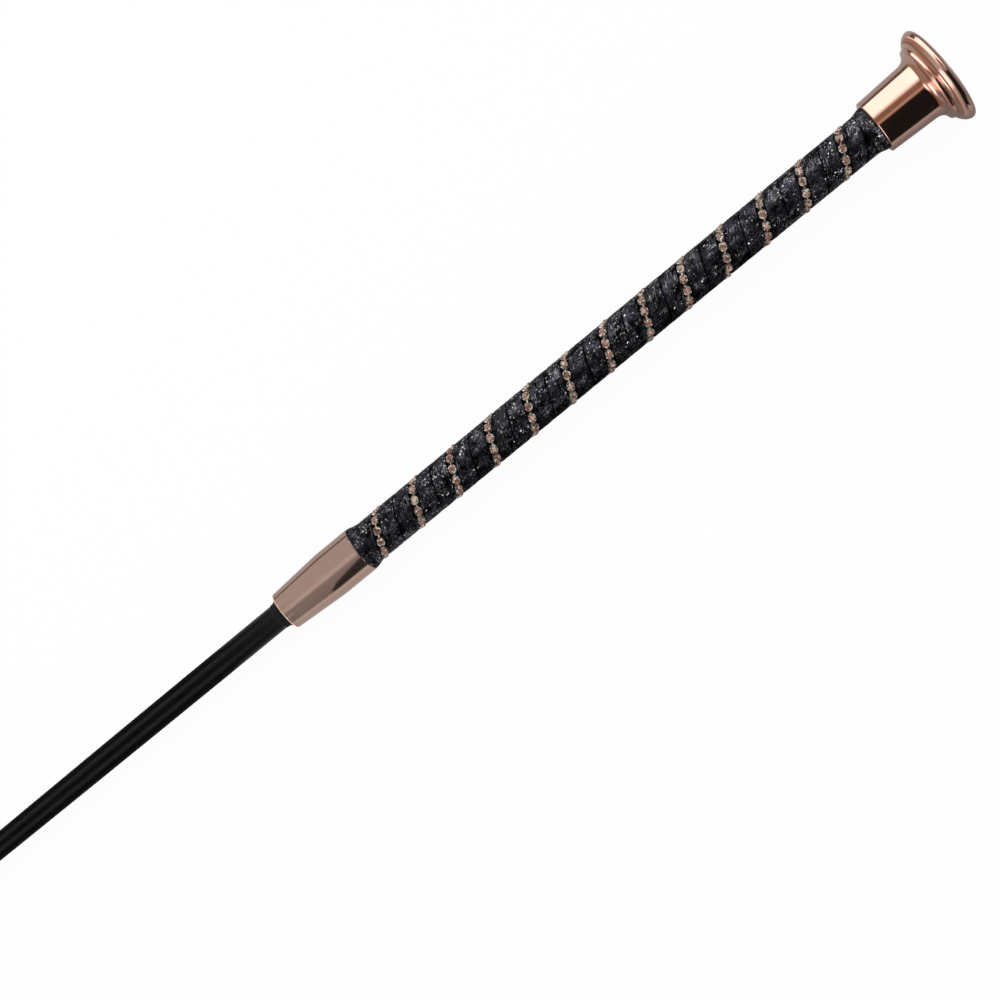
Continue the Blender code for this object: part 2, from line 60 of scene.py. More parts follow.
class Wire:
    """An output socket that is used as a number: a sum of wires and numbers adds its Math nodes."""

    def __init__(self, tree, socket):
        self.tree = tree
        self.socket = socket

    def node(self, kind, settings, sockets, out=0):
        """Add a node of a kind: its settings first, then the values or wires of its sockets."""
        made = self.tree.nodes.new(kind)
        for name, value in settings.items():
            if name == "stops":
                set_stops(made.color_ramp, value)
            else:
                setattr(made, name, value)
        for name, value in sockets.items():
            if isinstance(value, Wire):
                self.tree.links.new(value.socket, made.inputs[name])
            else:
                made.inputs[name].default_value = value
        return Wire(self.tree, made.outputs[out])

    def maths(self, operation, *values):
        """A Math node on this wire and further values."""
        sockets = dict(enumerate((self, *values)))
        return self.node('ShaderNodeMath', {"operation": operation}, sockets)

    def vector(self, operation, *values):
        """A Vector Math node on this wire and further values."""
        sockets = dict(enumerate((self, *values)))
        return self.node('ShaderNodeVectorMath', {"operation": operation}, sockets)

    def __add__(self, other):
        return self.maths('ADD', other)

    __radd__ = __add__

    def __mul__(self, other):
        return self.maths('MULTIPLY', other)

    __rmul__ = __mul__

    def __sub__(self, other):
        return self.maths('ADD', -1.0 * other)

    def __rsub__(self, other):
        return -1.0 * self + other

    def __gt__(self, other):
        return self.maths('GREATER_THAN', other)

    def __lt__(self, other):
        return self.maths('LESS_THAN', other)

    def step(self, start, end):
        """0 before a start, 1 after an end, and a straight slope between them."""
        sockets = {"Value": self, "From Min": start, "From Max": end}
        return self.node('ShaderNodeMapRange', {"clamp": True}, sockets)

    def mix(self, first, second):
        """The first colour where this wire is 0, and the second where it is 1."""
        return self.node('ShaderNodeMix', {"data_type": 'RGBA'}, {0: self, 6: first, 7: second}, 2)

    def lay(self):
        """The lay of the surface, which is its UV map."""
        return self.node('ShaderNodeUVMap', {"uv_map": "lay"}, {})

    def scaled(self, *sizes):
        """This place with each of its three axes multiplied by a number."""
        return self.node('ShaderNodeMapping', {}, {"Vector": self, "Scale": sizes})

    def part(self, axis):
        """The X, Y or Z of a place."""
        return self.node('ShaderNodeSeparateXYZ', {}, {0: self}, axis)

    def noise(self, scale, detail=2.0):
        """Soft random hills from 0 to 1."""
        sockets = {"Vector": self, "Scale": scale, "Detail": detail}
        return self.node('ShaderNodeTexNoise', {}, sockets)

    def cells(self, scale, settings, out):
        """Random cells over a flat lay."""
        settings = {"voronoi_dimensions": '2D', **settings}
        return self.node('ShaderNodeTexVoronoi', settings, {"Vector": self, "Scale": scale}, out)

    def bump(self, distance, **sockets):
        """A normal raised by this wire, by a distance where it is 1."""
        return self.node('ShaderNodeBump', {}, {"Height": self, "Distance": distance, **sockets}, "Normal")

    def into(self, shader, socket):
        """Drive a socket of a shader."""
        self.tree.links.new(self.socket, shader.inputs[socket])


def set_stops(ramp, stops):
    """Give a colour ramp its (place, colour) stops."""
    for _ in range(len(stops) - len(ramp.elements)):
        ramp.elements.new(1.0)
    for element, (place, shade) in zip(ramp.elements, stops):
        element.position = place
        element.color = shade


def start_finish(name, constants):
    """A new material: its Principled shader with constant sockets set, and a wire of Object coordinates."""
    finish = bpy.data.materials.new(name)
    finish.use_nodes = True
    shader = finish.node_tree.nodes["Principled BSDF"]
    for socket, value in constants.items():
        shader.inputs[socket].default_value = value
    place = finish.node_tree.nodes.new('ShaderNodeTexCoord')
    return finish, shader, Wire(finish.node_tree, place.outputs["Object"])


FIBRE_DARK = (0.30, 0.31, 0.24, 1.0)
FIBRE_LIGHT = (0.62, 0.64, 0.54, 1.0)
glass_fibre, shader, place = start_finish("glass_fibre", {"Coat Weight": 0.3})
fibres = place.scaled(25.0, 2600.0, 2600.0).noise(1.0, 3.0)
fibres.mix(FIBRE_DARK, FIBRE_LIGHT).into(shader, "Base Color")
(0.25 + 0.3 * fibres).into(shader, "Roughness")
fibres.bump(0.00003).into(shader, "Normal")
frame["nodes"]["core_rod"].material_slots[0].material = glass_fibre

# Grip core: a tube of black closed-cell foam, pushed over the rod, that the grip is wound on.
# The strips hide it apart from the floor of the seam between them.

FOAM_DARK = (0.006, 0.006, 0.007, 1.0)
FOAM_LIGHT = (0.022, 0.022, 0.024, 1.0)
black_foam, shader, place = start_finish("black_foam", {})
bubbles = place.node('ShaderNodeTexVoronoi', {}, {"Vector": place, "Scale": 2200.0}, "Distance")
bubbles.mix(FOAM_DARK, FOAM_LIGHT).into(shader, "Base Color")
(0.75 + 0.2 * bubbles).into(shader, "Roughness")
bubbles.bump(0.0001).into(shader, "Normal")
frame["nodes"]["grip_core"].material_slots[0].material = black_foam

# Shaft cover: a round braid of black nylon yarn, drawn tight over the rod and waxed to a satin black.
# It runs from inside the ferrule to inside the binding, and tapers slowly with the rod.

CAP_LENGTH = 0.0306
cap_end = np.array(frame["record"]["mounts"][0]["pos_m"])
whip_axis = np.array(frame["record"]["mounts"][0]["axis"])
cap_mouth = cap_end - CAP_LENGTH * whip_axis
floor_side = np.array((whip_axis[2], 0.0, -whip_axis[0]))
far_side = np.array((0.0, 1.0, 0.0))


def on_whip(radius, angle, height):
    """Points about the whip: a height along its axis, and a radius off it at an angle from the floor side."""
    radius, angle, height = np.broadcast_arrays(radius, angle, height)
    outward = np.cos(angle)[..., None] * floor_side + np.sin(angle)[..., None] * far_side
    return cap_mouth + radius[..., None] * outward + height[..., None] * whip_axis


def joined(*parts):
    """Arrays side by side along a new last axis, after they have taken one common shape."""
    return np.stack(np.broadcast_arrays(*parts), axis=-1)


def smooth_step(share):
    """0 to 1 with level ends: 3 share squared less 2 share cubed."""
    share = np.clip(share, 0.0, 1.0)
    return share * share * (3.0 - 2.0 * share)


def corners(grid):
    """The four corners of each face of a grid, in order round the face."""
    return np.stack((grid[:-1, :-1], grid[:-1, 1:], grid[1:, 1:], grid[1:, :-1]), axis=2)


def add_mesh(name, points, faces, finish):
    """An object of one finish, whose mesh has these points and faces."""
    mesh = bpy.data.meshes.new(name)
    mesh.from_pydata(points.reshape(-1, 3).tolist(), [], faces.tolist())
    mesh.materials.append(finish)
    piece = bpy.data.objects.new(name, mesh)
    bpy.context.scene.collection.objects.link(piece)
    return piece


def close_shell(mesh, sharp):
    """Merge points that fall together, turn faces outwards, and shade smooth up to an angle in degrees."""
    shell = bmesh.new()
    shell.from_mesh(mesh)
    bmesh.ops.remove_doubles(shell, verts=shell.verts, dist=1e-7)
    bmesh.ops.recalc_face_normals(shell, faces=shell.faces)
    shell.to_mesh(mesh)
    shell.free()
    mesh.shade_smooth()
    mesh.set_sharp_from_angle(angle=math.radians(sharp))


def surface(name, points, lay, finish, loop=False, sharp=40.0):
    """A closed skin through a grid of points whose rows are rings, with the grid's lay as its UV map.

    In a loop the last row also joins the first. The lay has one more column than the points, and one more
    row in a loop, so that the pattern meets itself at the seam.
    """
    rows, columns = points.shape[:2]
    index = np.arange(rows * columns).reshape(rows, columns)
    index = np.hstack((index, index[:, :1]))
    if loop:
        index = np.vstack((index, index[:1]))
    piece = add_mesh(name, points, corners(index).reshape(-1, 4), finish)
    piece.data.uv_layers.new(name="lay").data.foreach_set("uv", corners(lay).ravel())
    close_shell(piece.data, sharp)
    return piece


def fit(piece, body, slot, *nodes):
    """Let a piece ride on a body and stand for CAD nodes, which it hides.

    The slot is not used.
    """
    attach(piece, body)
    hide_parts(*nodes)


def braid(turn, length, strands, rise):
    """Relief of a plain braid from 0 to 1, and the phases of its two families of strands.

    A phase is strands times turn, plus or less length over rise, and counts one for each strand. Where the
    whole parts of both phases add up to an even number the first family lies on top, and elsewhere the
    second. The one on top is round across its own width and dips under at its ends.
    """
    first = strands * turn + length / rise
    second = strands * turn - length / rise
    first_on_top = (np.floor(first) + np.floor(second)) % 2.0 < 1.0
    round_first = np.sin(np.pi * (first % 1.0))
    round_second = np.sin(np.pi * (second % 1.0))
    relief = np.where(first_on_top, round_first * np.sqrt(round_second), round_second * np.sqrt(round_first))
    return relief, joined(first, second)


def braid_finish(name, dark, light, fibres_per_strand, gloss):
    """Black yarn laid in strands: fine fibres along the strand on top, and a soft uneven wax."""
    finish, shader, place = start_finish(name, {"Specular IOR Level": gloss})
    lay = place.lay()
    first = lay.part(0)
    second = lay.part(1)
    over = (first.maths('FLOOR') + second.maths('FLOOR')).maths('FLOORED_MODULO', 2.0)
    across = first * (1.0 - over) + second * over
    fibres = 0.5 + 0.5 * (across * (2.0 * math.pi * fibres_per_strand)).maths('SINE')
    wax = place.noise(160.0, 3.0)
    (0.35 * fibres + 0.65 * wax).mix(dark, light).into(shader, "Base Color")
    (0.22 + 0.18 * wax + 0.08 * fibres).into(shader, "Roughness")
    fibres.bump(0.000012).into(shader, "Normal")
    return finish


SHAFT_TOP = -0.2543
SHAFT_TIP = -0.8284
TAPER_START = -0.2995
SHAFT_BUTT_RADIUS = 0.00505
SHAFT_TIP_RADIUS = 0.0020
BORE_BUTT_RADIUS = 0.0029
BORE_TIP_RADIUS = 0.0013
SHAFT_STRANDS = 16
SHAFT_STRAND_RISE = 0.0022
SHAFT_RELIEF = 0.00004
BRAID_DARK = (0.0008, 0.0008, 0.0010, 1.0)
BRAID_LIGHT = (0.0024, 0.0024, 0.0030, 1.0)


def shaft_radius(height):
    """Radius of the shaft: straight to the start of the taper, then a smooth step down to the tip."""
    share = smooth_step((TAPER_START - height) / (TAPER_START - SHAFT_TIP))
    return SHAFT_BUTT_RADIUS + (SHAFT_TIP_RADIUS - SHAFT_BUTT_RADIUS) * share


turn = np.linspace(0.0, 1.0, 97)[None, :]
height = np.linspace(SHAFT_TOP, SHAFT_TIP, 1000)[:, None]
relief, lay = braid(turn, height, SHAFT_STRANDS, SHAFT_STRAND_RISE)
outer = on_whip(shaft_radius(height) + SHAFT_RELIEF * (relief - 1.0), 2.0 * np.pi * turn, height)
bore_top = on_whip(BORE_BUTT_RADIUS, 2.0 * np.pi * turn, SHAFT_TOP)
bore_tip = on_whip(BORE_TIP_RADIUS, 2.0 * np.pi * turn, SHAFT_TIP)
points = np.concatenate((bore_top, outer, bore_tip))[:, :-1]
lay = np.concatenate((lay[:1], lay, lay[-1:], lay[:1]))
black_braid = braid_finish("black_braid", BRAID_DARK, BRAID_LIGHT, fibres_per_strand=5.0, gloss=0.3)
shaft_cover = surface("shaft_cover", points, lay, black_braid, loop=True)
fit(shaft_cover, "whip", "black_braid", "shaft_braid")

# Ferrule: a tube of thin polished metal in a rose-bronze tone, straight over the grip's end and spun in to
# a cone towards the shaft. It is pressed over the foam and the ends of the strips.


def arc(centre, size, start, end, count=12):
    """Outline points on an arc: the centre, plus the size times cosine and sine of angles in degrees.

    The size is one radius, or a pair where the arc's width and height differ.
    """
    swing = np.radians(np.linspace(start, end, count))
    return np.array(centre) + joined(np.cos(swing), np.sin(swing)) * size


def turned(name, outline, finish, hollow=True, columns=240):
    """A turned piece: an outline of radius and height carried round the axis, with girth and run as its lay.

    The outline of a hollow piece is closed, and that of a solid one starts and ends on the axis.
    """
    outline = np.concatenate([np.atleast_2d(run) for run in outline])
    turn = np.linspace(0.0, 1.0, columns + 1)
    steps = np.linalg.norm(np.diff(outline, axis=0), axis=1)
    run = np.concatenate(((0.0,), np.cumsum(steps)))
    if hollow:
        run = np.append(run, run[-1])
    girth = 2.0 * np.pi * outline[:, 0].max() * turn
    lay = joined(girth[None, :], run[:, None])
    points = on_whip(outline[:, :1], 2.0 * np.pi * turn[None, :-1], outline[:, 1:])
    return surface(name, points, lay, finish, loop=hollow, sharp=50.0)


def polished_metal(name, colour, worn, roughness):
    """Polished metal with turning marks round it, a few rubbed patches and a faint haze of handling."""
    finish, shader, place = start_finish(name, {"Metallic": 1.0})
    lay = place.lay()
    marks = lay.scaled(150.0, 16000.0, 1.0).noise(1.0, 2.0)
    haze = place.noise(140.0, 4.0)
    rubbed = haze.step(0.52, 0.72)
    rubbed.mix(colour, worn).into(shader, "Base Color")
    (roughness + 0.05 * haze + 0.03 * marks).into(shader, "Roughness")
    (0.6 * marks + 0.4 * haze).bump(0.0000012).into(shader, "Normal")
    return finish


FERRULE_TOP = -0.242
FERRULE_LENGTH = 0.0375
FERRULE_TOP_RADIUS = 0.00925
FERRULE_FOOT_RADIUS = 0.0078
FERRULE_STRAIGHT = 0.0155
FERRULE_KNEE = 0.0040
FERRULE_EDGE = 0.0004
FERRULE_ROLL = 0.0007
FERRULE_FOOT = FERRULE_TOP - FERRULE_LENGTH
MOUTH_BORE = 0.00855
MOUTH_DEPTH = 0.006
FOAM_BORE = 0.00588
FOAM_DEPTH = 0.0123
SHAFT_BORE = 0.00535
TAPE_BORE = 0.0069
TAPE_DEPTH = 0.0033
BRONZE = (0.70, 0.47, 0.385, 1.0)
BRONZE_RUBBED = (0.72, 0.50, 0.42, 1.0)


def ferrule_radius(depth):
    """Radius at a depth below the top: straight, then a straight cone, joined by a parabola at the knee."""
    slope = (FERRULE_TOP_RADIUS - FERRULE_FOOT_RADIUS) / (FERRULE_LENGTH - FERRULE_STRAIGHT)
    past = np.clip(depth - FERRULE_STRAIGHT + FERRULE_KNEE / 2.0, 0.0, None)
    knee = np.minimum(past, FERRULE_KNEE)
    return FERRULE_TOP_RADIUS - slope * (knee * knee / (2.0 * FERRULE_KNEE) + past - knee)


depth = np.linspace(FERRULE_EDGE, FERRULE_LENGTH - FERRULE_ROLL, 60)
foot_radius = ferrule_radius(depth[-1])
outline = (
    arc((FERRULE_TOP_RADIUS - FERRULE_EDGE, FERRULE_TOP - FERRULE_EDGE), FERRULE_EDGE, 90.0, 10.0),
    joined(ferrule_radius(depth), FERRULE_TOP - depth),
    arc((foot_radius - FERRULE_ROLL, FERRULE_FOOT + FERRULE_ROLL), FERRULE_ROLL, -5.0, -90.0, 16),
    (TAPE_BORE, FERRULE_FOOT),
    (TAPE_BORE, FERRULE_FOOT + TAPE_DEPTH),
    (SHAFT_BORE, FERRULE_FOOT + TAPE_DEPTH),
    (SHAFT_BORE, FERRULE_TOP - FOAM_DEPTH),
    (FOAM_BORE, FERRULE_TOP - FOAM_DEPTH),
    (FOAM_BORE, FERRULE_TOP - MOUTH_DEPTH),
    (MOUTH_BORE, FERRULE_TOP - MOUTH_DEPTH),
    (MOUTH_BORE, FERRULE_TOP),
)
rose_bronze = polished_metal("rose_bronze", BRONZE, BRONZE_RUBBED, roughness=0.08)
ferrule = turned("ferrule_shell", outline, rose_bronze)
fit(ferrule, "whip", "satin_bronze", "ferrule")

# Shaft collar: a ring of dull black cotton tape, a little dusty, built up on the shaft to fill the ferrule's
# lower mouth. It is rolled down to nothing on the shaft in a soft hollow curve.

COLLAR_RADIUS = 0.0066
COLLAR_HALF = 0.0030
COLLAR_BORE = 0.00512
COLLAR_EDGE = 0.0001
COLLAR_ROLL = 0.0026
TAPE_DARK = (0.004, 0.004, 0.0045, 1.0)
TAPE_DUSTY = (0.014, 0.014, 0.015, 1.0)
WEAVE_DENSITY = 15000.0

black_tape, shader, place = start_finish("black_tape", {"Specular IOR Level": 0.15})
lay = place.lay()
warp = (lay.part(0) * WEAVE_DENSITY).maths('SINE')
weft = (lay.part(1) * WEAVE_DENSITY).maths('SINE')
dust = place.noise(900.0, 3.0)
dust.mix(TAPE_DARK, TAPE_DUSTY).into(shader, "Base Color")
(0.6 + 0.25 * dust).into(shader, "Roughness")
(warp * weft).bump(0.00002).into(shader, "Normal")

roll_size = (COLLAR_RADIUS - COLLAR_BORE - COLLAR_EDGE, COLLAR_ROLL)
outline = (
    (COLLAR_RADIUS, FERRULE_FOOT + COLLAR_HALF),
    arc((COLLAR_RADIUS, FERRULE_FOOT - COLLAR_HALF), roll_size, 90.0, 180.0),
    (COLLAR_BORE, FERRULE_FOOT - COLLAR_HALF),
    (COLLAR_BORE, FERRULE_FOOT + COLLAR_HALF),
)
collar = turned("collar_tape", outline, black_tape)
fit(collar, "whip", "black_tape", "shaft_collar")

# Glitter strips: two strips of black crackled glitter film on a padded backing, wound side by side up the
# grip, left-handed. One groove between them carries the stone chain, and their other edges meet in a seam.

CHAIN_LEAD = 0.01813
CHAIN_FIRST_CROSSING = 0.0146
GRIP_RADIUS = 0.00812
STRIP_INNER_RADIUS = 0.0060
STRIP_RISE = 0.00702
STRIP_EDGE = 0.0003
STRIP_RISES = (0.001967, 0.009145)
STRIP_CROWN = 0.00006
STRIP_CRUMPLE = 0.00003
WINDING_TUCK = 0.004
SEAM_PLACE = (STRIP_RISES[0] + STRIP_RISE + STRIP_RISES[1]) / 2.0
SEAM_SHADE_HALF = 0.0005
FLAKE_TILT = (0.32, 0.32, 0.32)
CRUMPLE_WAVES = 16
CRUMPLE_LENGTHS = (0.0012, 0.0045)
CRACK_AND_SEAM_SHADE_BLACK = (0.003, 0.003, 0.003, 1.0)
FILM_DARK = (0.010, 0.010, 0.013, 1.0)
FILM_CLOUD = (0.105, 0.107, 0.143, 1.0)
FOIL_AND_FOLD_GLINT = (0.90, 0.89, 0.89, 1.0)


def winding_angle(height):
    """Angle of the winding at a height: left-handed, and on top of the whip at its first crossing."""
    return np.pi - 2.0 * np.pi * (height + CHAIN_FIRST_CROSSING) / CHAIN_LEAD


def crumple(along, across, seed):
    """Small hills from about -1 to 1: a sum of straight waves of random direction, length and phase."""
    chance = np.random.default_rng(seed)
    heading = chance.uniform(0.0, 2.0 * np.pi, CRUMPLE_WAVES)
    wave = 2.0 * np.pi / chance.uniform(*CRUMPLE_LENGTHS, CRUMPLE_WAVES)
    phase = chance.uniform(0.0, 2.0 * np.pi, CRUMPLE_WAVES)
    hills = np.zeros(np.broadcast(along, across).shape)
    for one_heading, one_wave, one_phase in zip(heading, wave, phase):
        travel = along * math.cos(one_heading) + across * math.sin(one_heading)
        hills += np.sin(travel * one_wave + one_phase)
    return hills / 5.0


def glitter_finish(name):
    """Black crackled film: cloudy beside the chain, with more foil flakes towards and past the seam.

    Thin lines along the folds are painted highlights in the foil's colour, and a narrow band along the seam is
    painted shade, as black as the cracks.
    """
    finish, shader, place = start_finish(name, {"Metallic": 1.0, "Specular Tint": (0.6, 0.6, 0.6, 1.0)})
    lay = place.lay()
    past_seam = lay.part(1).step(0.0035, 0.0090)
    # A narrow band along the seam between the strips is painted shade: there the film takes the cracks' black and
    # has no glints.
    seam = (lay.part(1) - SEAM_PLACE).maths('ABSOLUTE').step(0.0, SEAM_SHADE_HALF)
    clouds = lay.noise(240.0, 3.0).step(0.40, 0.66)
    clear_of_cracks_and_seam_shade = lay.cells(700.0, {"feature": 'DISTANCE_TO_EDGE'}, "Distance").step(0.0, 0.09) * seam
    flakes = lay.cells(1900.0, {}, "Color")
    tilt = flakes.vector('SUBTRACT', (0.5, 0.5, 0.5)).vector('MULTIPLY', FLAKE_TILT)
    facing = place.node('ShaderNodeNewGeometry', {}, {}, "Normal").vector('ADD', tilt).vector('NORMALIZE')
    across_folds = lay.scaled(950.0, 170.0, 1.0).noise(1.0, 1.0)
    along_folds = lay.scaled(190.0, 1000.0, 1.0).noise(1.0, 1.0)
    folds = across_folds + (along_folds - across_folds) * lay.noise(130.0, 1.0).step(0.47, 0.53)
    # Thin bright lines along the folds, in patches, are painted highlights: there the film takes the foil's colour
    # and a low roughness.
    painted_glint_patches = lay.noise(260.0, 1.0).step(0.44, 0.56)
    painted_fold_glint = (1.0 - 30.0 * (folds - 0.5).maths('ABSOLUTE')).maths('MAXIMUM', 0.0) * painted_glint_patches
    folds.bump(0.0002, Normal=facing).into(shader, "Normal")
    flaked = lay.noise(50.0, 1.0).step(0.42, 0.58)
    bright = flakes.part(2) > 0.992 - 0.045 * past_seam * flaked - 0.025 * flaked
    # The foil flakes and the painted fold highlights both turn the film to foil.
    foil_and_painted_glint = (0.62 * painted_fold_glint).maths('MAXIMUM', bright) * clear_of_cracks_and_seam_shade
    film = clear_of_cracks_and_seam_shade.mix(CRACK_AND_SEAM_SHADE_BLACK, clouds.mix(FILM_DARK, FILM_CLOUD))
    foil_and_painted_glint.mix(film, FOIL_AND_FOLD_GLINT).into(shader, "Base Color")
    (0.36 - 0.24 * foil_and_painted_glint).into(shader, "Roughness")
    return finish


black_glitter = glitter_finish("black_glitter")
rounded = arc((STRIP_EDGE, GRIP_RADIUS - STRIP_EDGE), STRIP_EDGE, 180.0, 100.0, 5)
level = np.linspace(STRIP_EDGE, STRIP_RISE - STRIP_EDGE, 22)
section = np.concatenate((
    ((0.0, STRIP_INNER_RADIUS),),
    rounded,
    joined(level, GRIP_RADIUS),
    (rounded * (-1.0, 1.0) + (STRIP_RISE, 0.0))[::-1],
    ((STRIP_RISE, STRIP_INNER_RADIUS),),
))
section = np.concatenate((section, section[:1]))
across = section[:, 0][None, :]
crown = STRIP_CROWN * (0.5 - (2.0 * across / STRIP_RISE - 1.0) ** 2)
outer_face = section[:, 1] > STRIP_INNER_RADIUS
winding_run = math.hypot(2.0 * math.pi * GRIP_RADIUS, CHAIN_LEAD) / CHAIN_LEAD
for letter, rise in zip("ab", STRIP_RISES):
    low = FERRULE_TOP - WINDING_TUCK
    start = np.linspace(WINDING_TUCK - rise, low - rise - STRIP_RISE, 1560)[:, None]
    height = np.clip(start + rise + across, low, WINDING_TUCK)
    along = -start * winding_run
    hills = STRIP_CRUMPLE * crumple(along, across, ord(letter)) + crown
    radius = section[:, 1] + np.where(outer_face, hills, 0.0)
    points = on_whip(radius, winding_angle(start), height)[:, :-1]
    lay = joined(along, across + rise)
    strip = surface("wound_strip_" + letter, points, lay, black_glitter, sharp=60.0)
    fit(strip, "whip", "black_glitter", "glitter_strip_" + letter)

# Stone chain: champagne glass stones, each held by four claws in its own small metal cup, and the cups joined
# by short links. The chain is laid in the groove between the strips and pulled tight.

STONES = 165
STONES_PER_TURN = 12
CUP_SEAT_RADIUS = 0.00642
CUP_RADIUS = 0.00145
CUP_STRETCH = 1.08
CUP_WALL = 0.00120
CUP_LIP = 0.0001
CUP_COLUMNS = 12
CLAW_RISE = 0.00050
STONE_RADIUS = 0.00136
STONE_GIRDLE = 0.00120
STONE_TABLE = 0.00208
STONE_FOOT = 0.00025
TABLE_SIDES = 8
GIRDLE_SIDES = 16
TABLE_SHARE = 0.55
LINK_LENGTH = 0.0020
LINK_RADIUS = 0.00045
LINK_HEIGHT = 0.00075
LINK_SIDES = 6
CUP_BRIGHT = (1.0, 0.92, 0.80, 1.0)
CUP_TARNISHED = (0.20, 0.11, 0.075, 1.0)

stone_pitch = CHAIN_LEAD / STONES_PER_TURN


def chain_frames(place):
    """Seats along the winding by stone number: a point, and its along, across and outward directions."""
    height = WINDING_TUCK - stone_pitch * (place + 1.0)
    angle = winding_angle(height)[:, None]
    outward = np.cos(angle) * floor_side + np.sin(angle) * far_side
    about = np.cos(angle) * far_side - np.sin(angle) * floor_side
    along = whip_axis - about * (2.0 * math.pi * CUP_SEAT_RADIUS / CHAIN_LEAD)
    along /= np.linalg.norm(along, axis=1)[:, None]
    seat = on_whip(CUP_SEAT_RADIUS, angle[:, 0], height)
    return seat, np.stack((along, np.cross(outward, along), outward), axis=1)


def repeated(name, shape, faces, place, finish):
    """One mesh of a small shape at many places of the chain: each point is seat plus shape in its frame."""
    seat, axes = chain_frames(place)
    points = seat[:, None, :] + shape @ axes
    count = np.arange(len(place))[:, None, None] * len(shape)
    return add_mesh(name, points, (faces[None] + count).reshape(-1, faces.shape[1]), finish)


def ring_points(radius, height, count):
    """Points evenly round an upright axis, each with its own radius and height."""
    swing = 2.0 * np.pi * np.arange(count) / count
    return joined(radius * np.cos(swing), radius * np.sin(swing), height)


def ring_faces(rings, columns):
    """Faces between rings of points that follow one another, with the last column joined to the first."""
    index = np.arange(rings * columns).reshape(rings, columns)
    return corners(np.hstack((index, index[:, :1]))).reshape(-1, 4)


cup_metal, shader, place = start_finish("cup_metal", {"Metallic": 0.65})
tarnish = place.noise(1100.0, 2.0)
tarnish.step(0.40, 0.58).mix(CUP_BRIGHT, CUP_TARNISHED).into(shader, "Base Color")
(0.14 + 0.2 * tarnish).into(shader, "Roughness")
tarnish.bump(0.00001).into(shader, "Normal")

# A cup is five rings, from its middle under the stone, up its wall, and back over the rim. A ring has a share
# of the cup's radius, what a claw adds to that share, and a height. Two columns of every three are claw.
claw = np.tile((0.0, 1.0, 1.0), CUP_COLUMNS // 3)
rim = CUP_WALL + CLAW_RISE * claw
cup_rings = (
    (0.0, 0.0, 0.0),
    (0.94, 0.12, 0.0),
    (1.0, 0.10, rim),
    (0.92, -0.12, rim + CUP_LIP),
    (0.0, 0.0, STONE_FOOT),
)
cup = np.concatenate([
    ring_points(CUP_RADIUS * (share + more * claw), height, CUP_COLUMNS) for share, more, height in cup_rings
])
cup[:, 0] *= CUP_STRETCH
cups = repeated("chain_cups", cup, ring_faces(len(cup_rings), CUP_COLUMNS), np.arange(STONES), cup_metal)
close_shell(cups.data, sharp=35.0)
fit(cups, "whip", "stone_and_cup", "rhinestone_chain")

link_ring = ring_points(LINK_RADIUS, 0.0, LINK_SIDES)
link = np.concatenate([
    joined(end, share * link_ring[:, 0], LINK_HEIGHT + share * link_ring[:, 1])
    for end, share in ((-0.5, 0.0), (-0.5, 1.0), (0.5, 1.0), (0.5, 0.0))
])
link[:, 0] *= LINK_LENGTH
links = repeated("chain_links", link, ring_faces(4, LINK_SIDES), np.arange(STONES - 1) + 0.5, cup_metal)
close_shell(links.data, sharp=35.0)
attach(links, "whip")

champagne_glass, shader, place = start_finish("champagne_glass", {"IOR": 1.7, "Metallic": 0.15})
# Each face of a stone has a painted flash from 0 to 1: the stone's reflections painted into its colour, from dark
# copper to white.
flash = place.node('ShaderNodeAttribute', {"attribute_name": "flash"}, {}, "Fac")
flash.node('ShaderNodeValToRGB', {"stops": (
    (0.0, (0.06, 0.020, 0.013, 1.0)),
    (0.3, (0.27, 0.12, 0.085, 1.0)),
    (0.6, (0.50, 0.31, 0.24, 1.0)),
    (0.8, (0.80, 0.65, 0.52, 1.0)),
    (1.0, (1.0, 0.97, 0.90, 1.0)),
)}, {"Fac": flash}).into(shader, "Base Color")
(0.04 + 0.05 * place.noise(900.0)).into(shader, "Roughness")

# A stone is a flat table, a crown of triangles down to the girdle, and a pavilion down to its foot.
table = np.arange(TABLE_SIDES)
table_next = (table + 1) % TABLE_SIDES
table_fan = np.arange(1, TABLE_SIDES - 1)
girdle = TABLE_SIDES + 2 * table
girdle_before = TABLE_SIDES + (2 * table - 1) % GIRDLE_SIDES
girdle_all = np.arange(GIRDLE_SIDES)
girdle_all_next = TABLE_SIDES + (girdle_all + 1) % GIRDLE_SIDES
foot = TABLE_SIDES + GIRDLE_SIDES
stone = np.concatenate((
    ring_points(STONE_RADIUS * TABLE_SHARE, STONE_TABLE, TABLE_SIDES),
    ring_points(STONE_RADIUS, STONE_GIRDLE, GIRDLE_SIDES),
    ((0.0, 0.0, STONE_FOOT),),
))
stone_faces = np.concatenate((
    joined(0, table_fan, table_fan + 1),
    joined(table, girdle + 1, table_next),
    joined(table, girdle_before, girdle),
    joined(table, girdle, girdle + 1),
    joined(girdle_all_next, TABLE_SIDES + girdle_all, foot),
))
stones = repeated("chain_stones", stone, stone_faces, np.arange(STONES), champagne_glass)
# Painted flashes at random: one for the whole table of each stone, and one for each other face.
chance = np.random.default_rng(5)
table_painted_flash = np.repeat(chance.uniform(0.1, 0.75, (STONES, 1)), len(table_fan), axis=1)
crown_painted_flash = chance.uniform(0.0, 1.0, (STONES, len(stone_faces) - len(table_fan))) ** 1.3
painted_flashes = np.hstack((table_painted_flash, crown_painted_flash)).ravel()
stones.data.attributes.new("flash", 'FLOAT', 'FACE').data.foreach_set("value", painted_flashes)
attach(stones, "whip")

# End bands: two thin rings of the same black film over the cut ends of the strips, one against each metal
# mouth. Each lies flush on the winding at its foot and flares out to the metal.

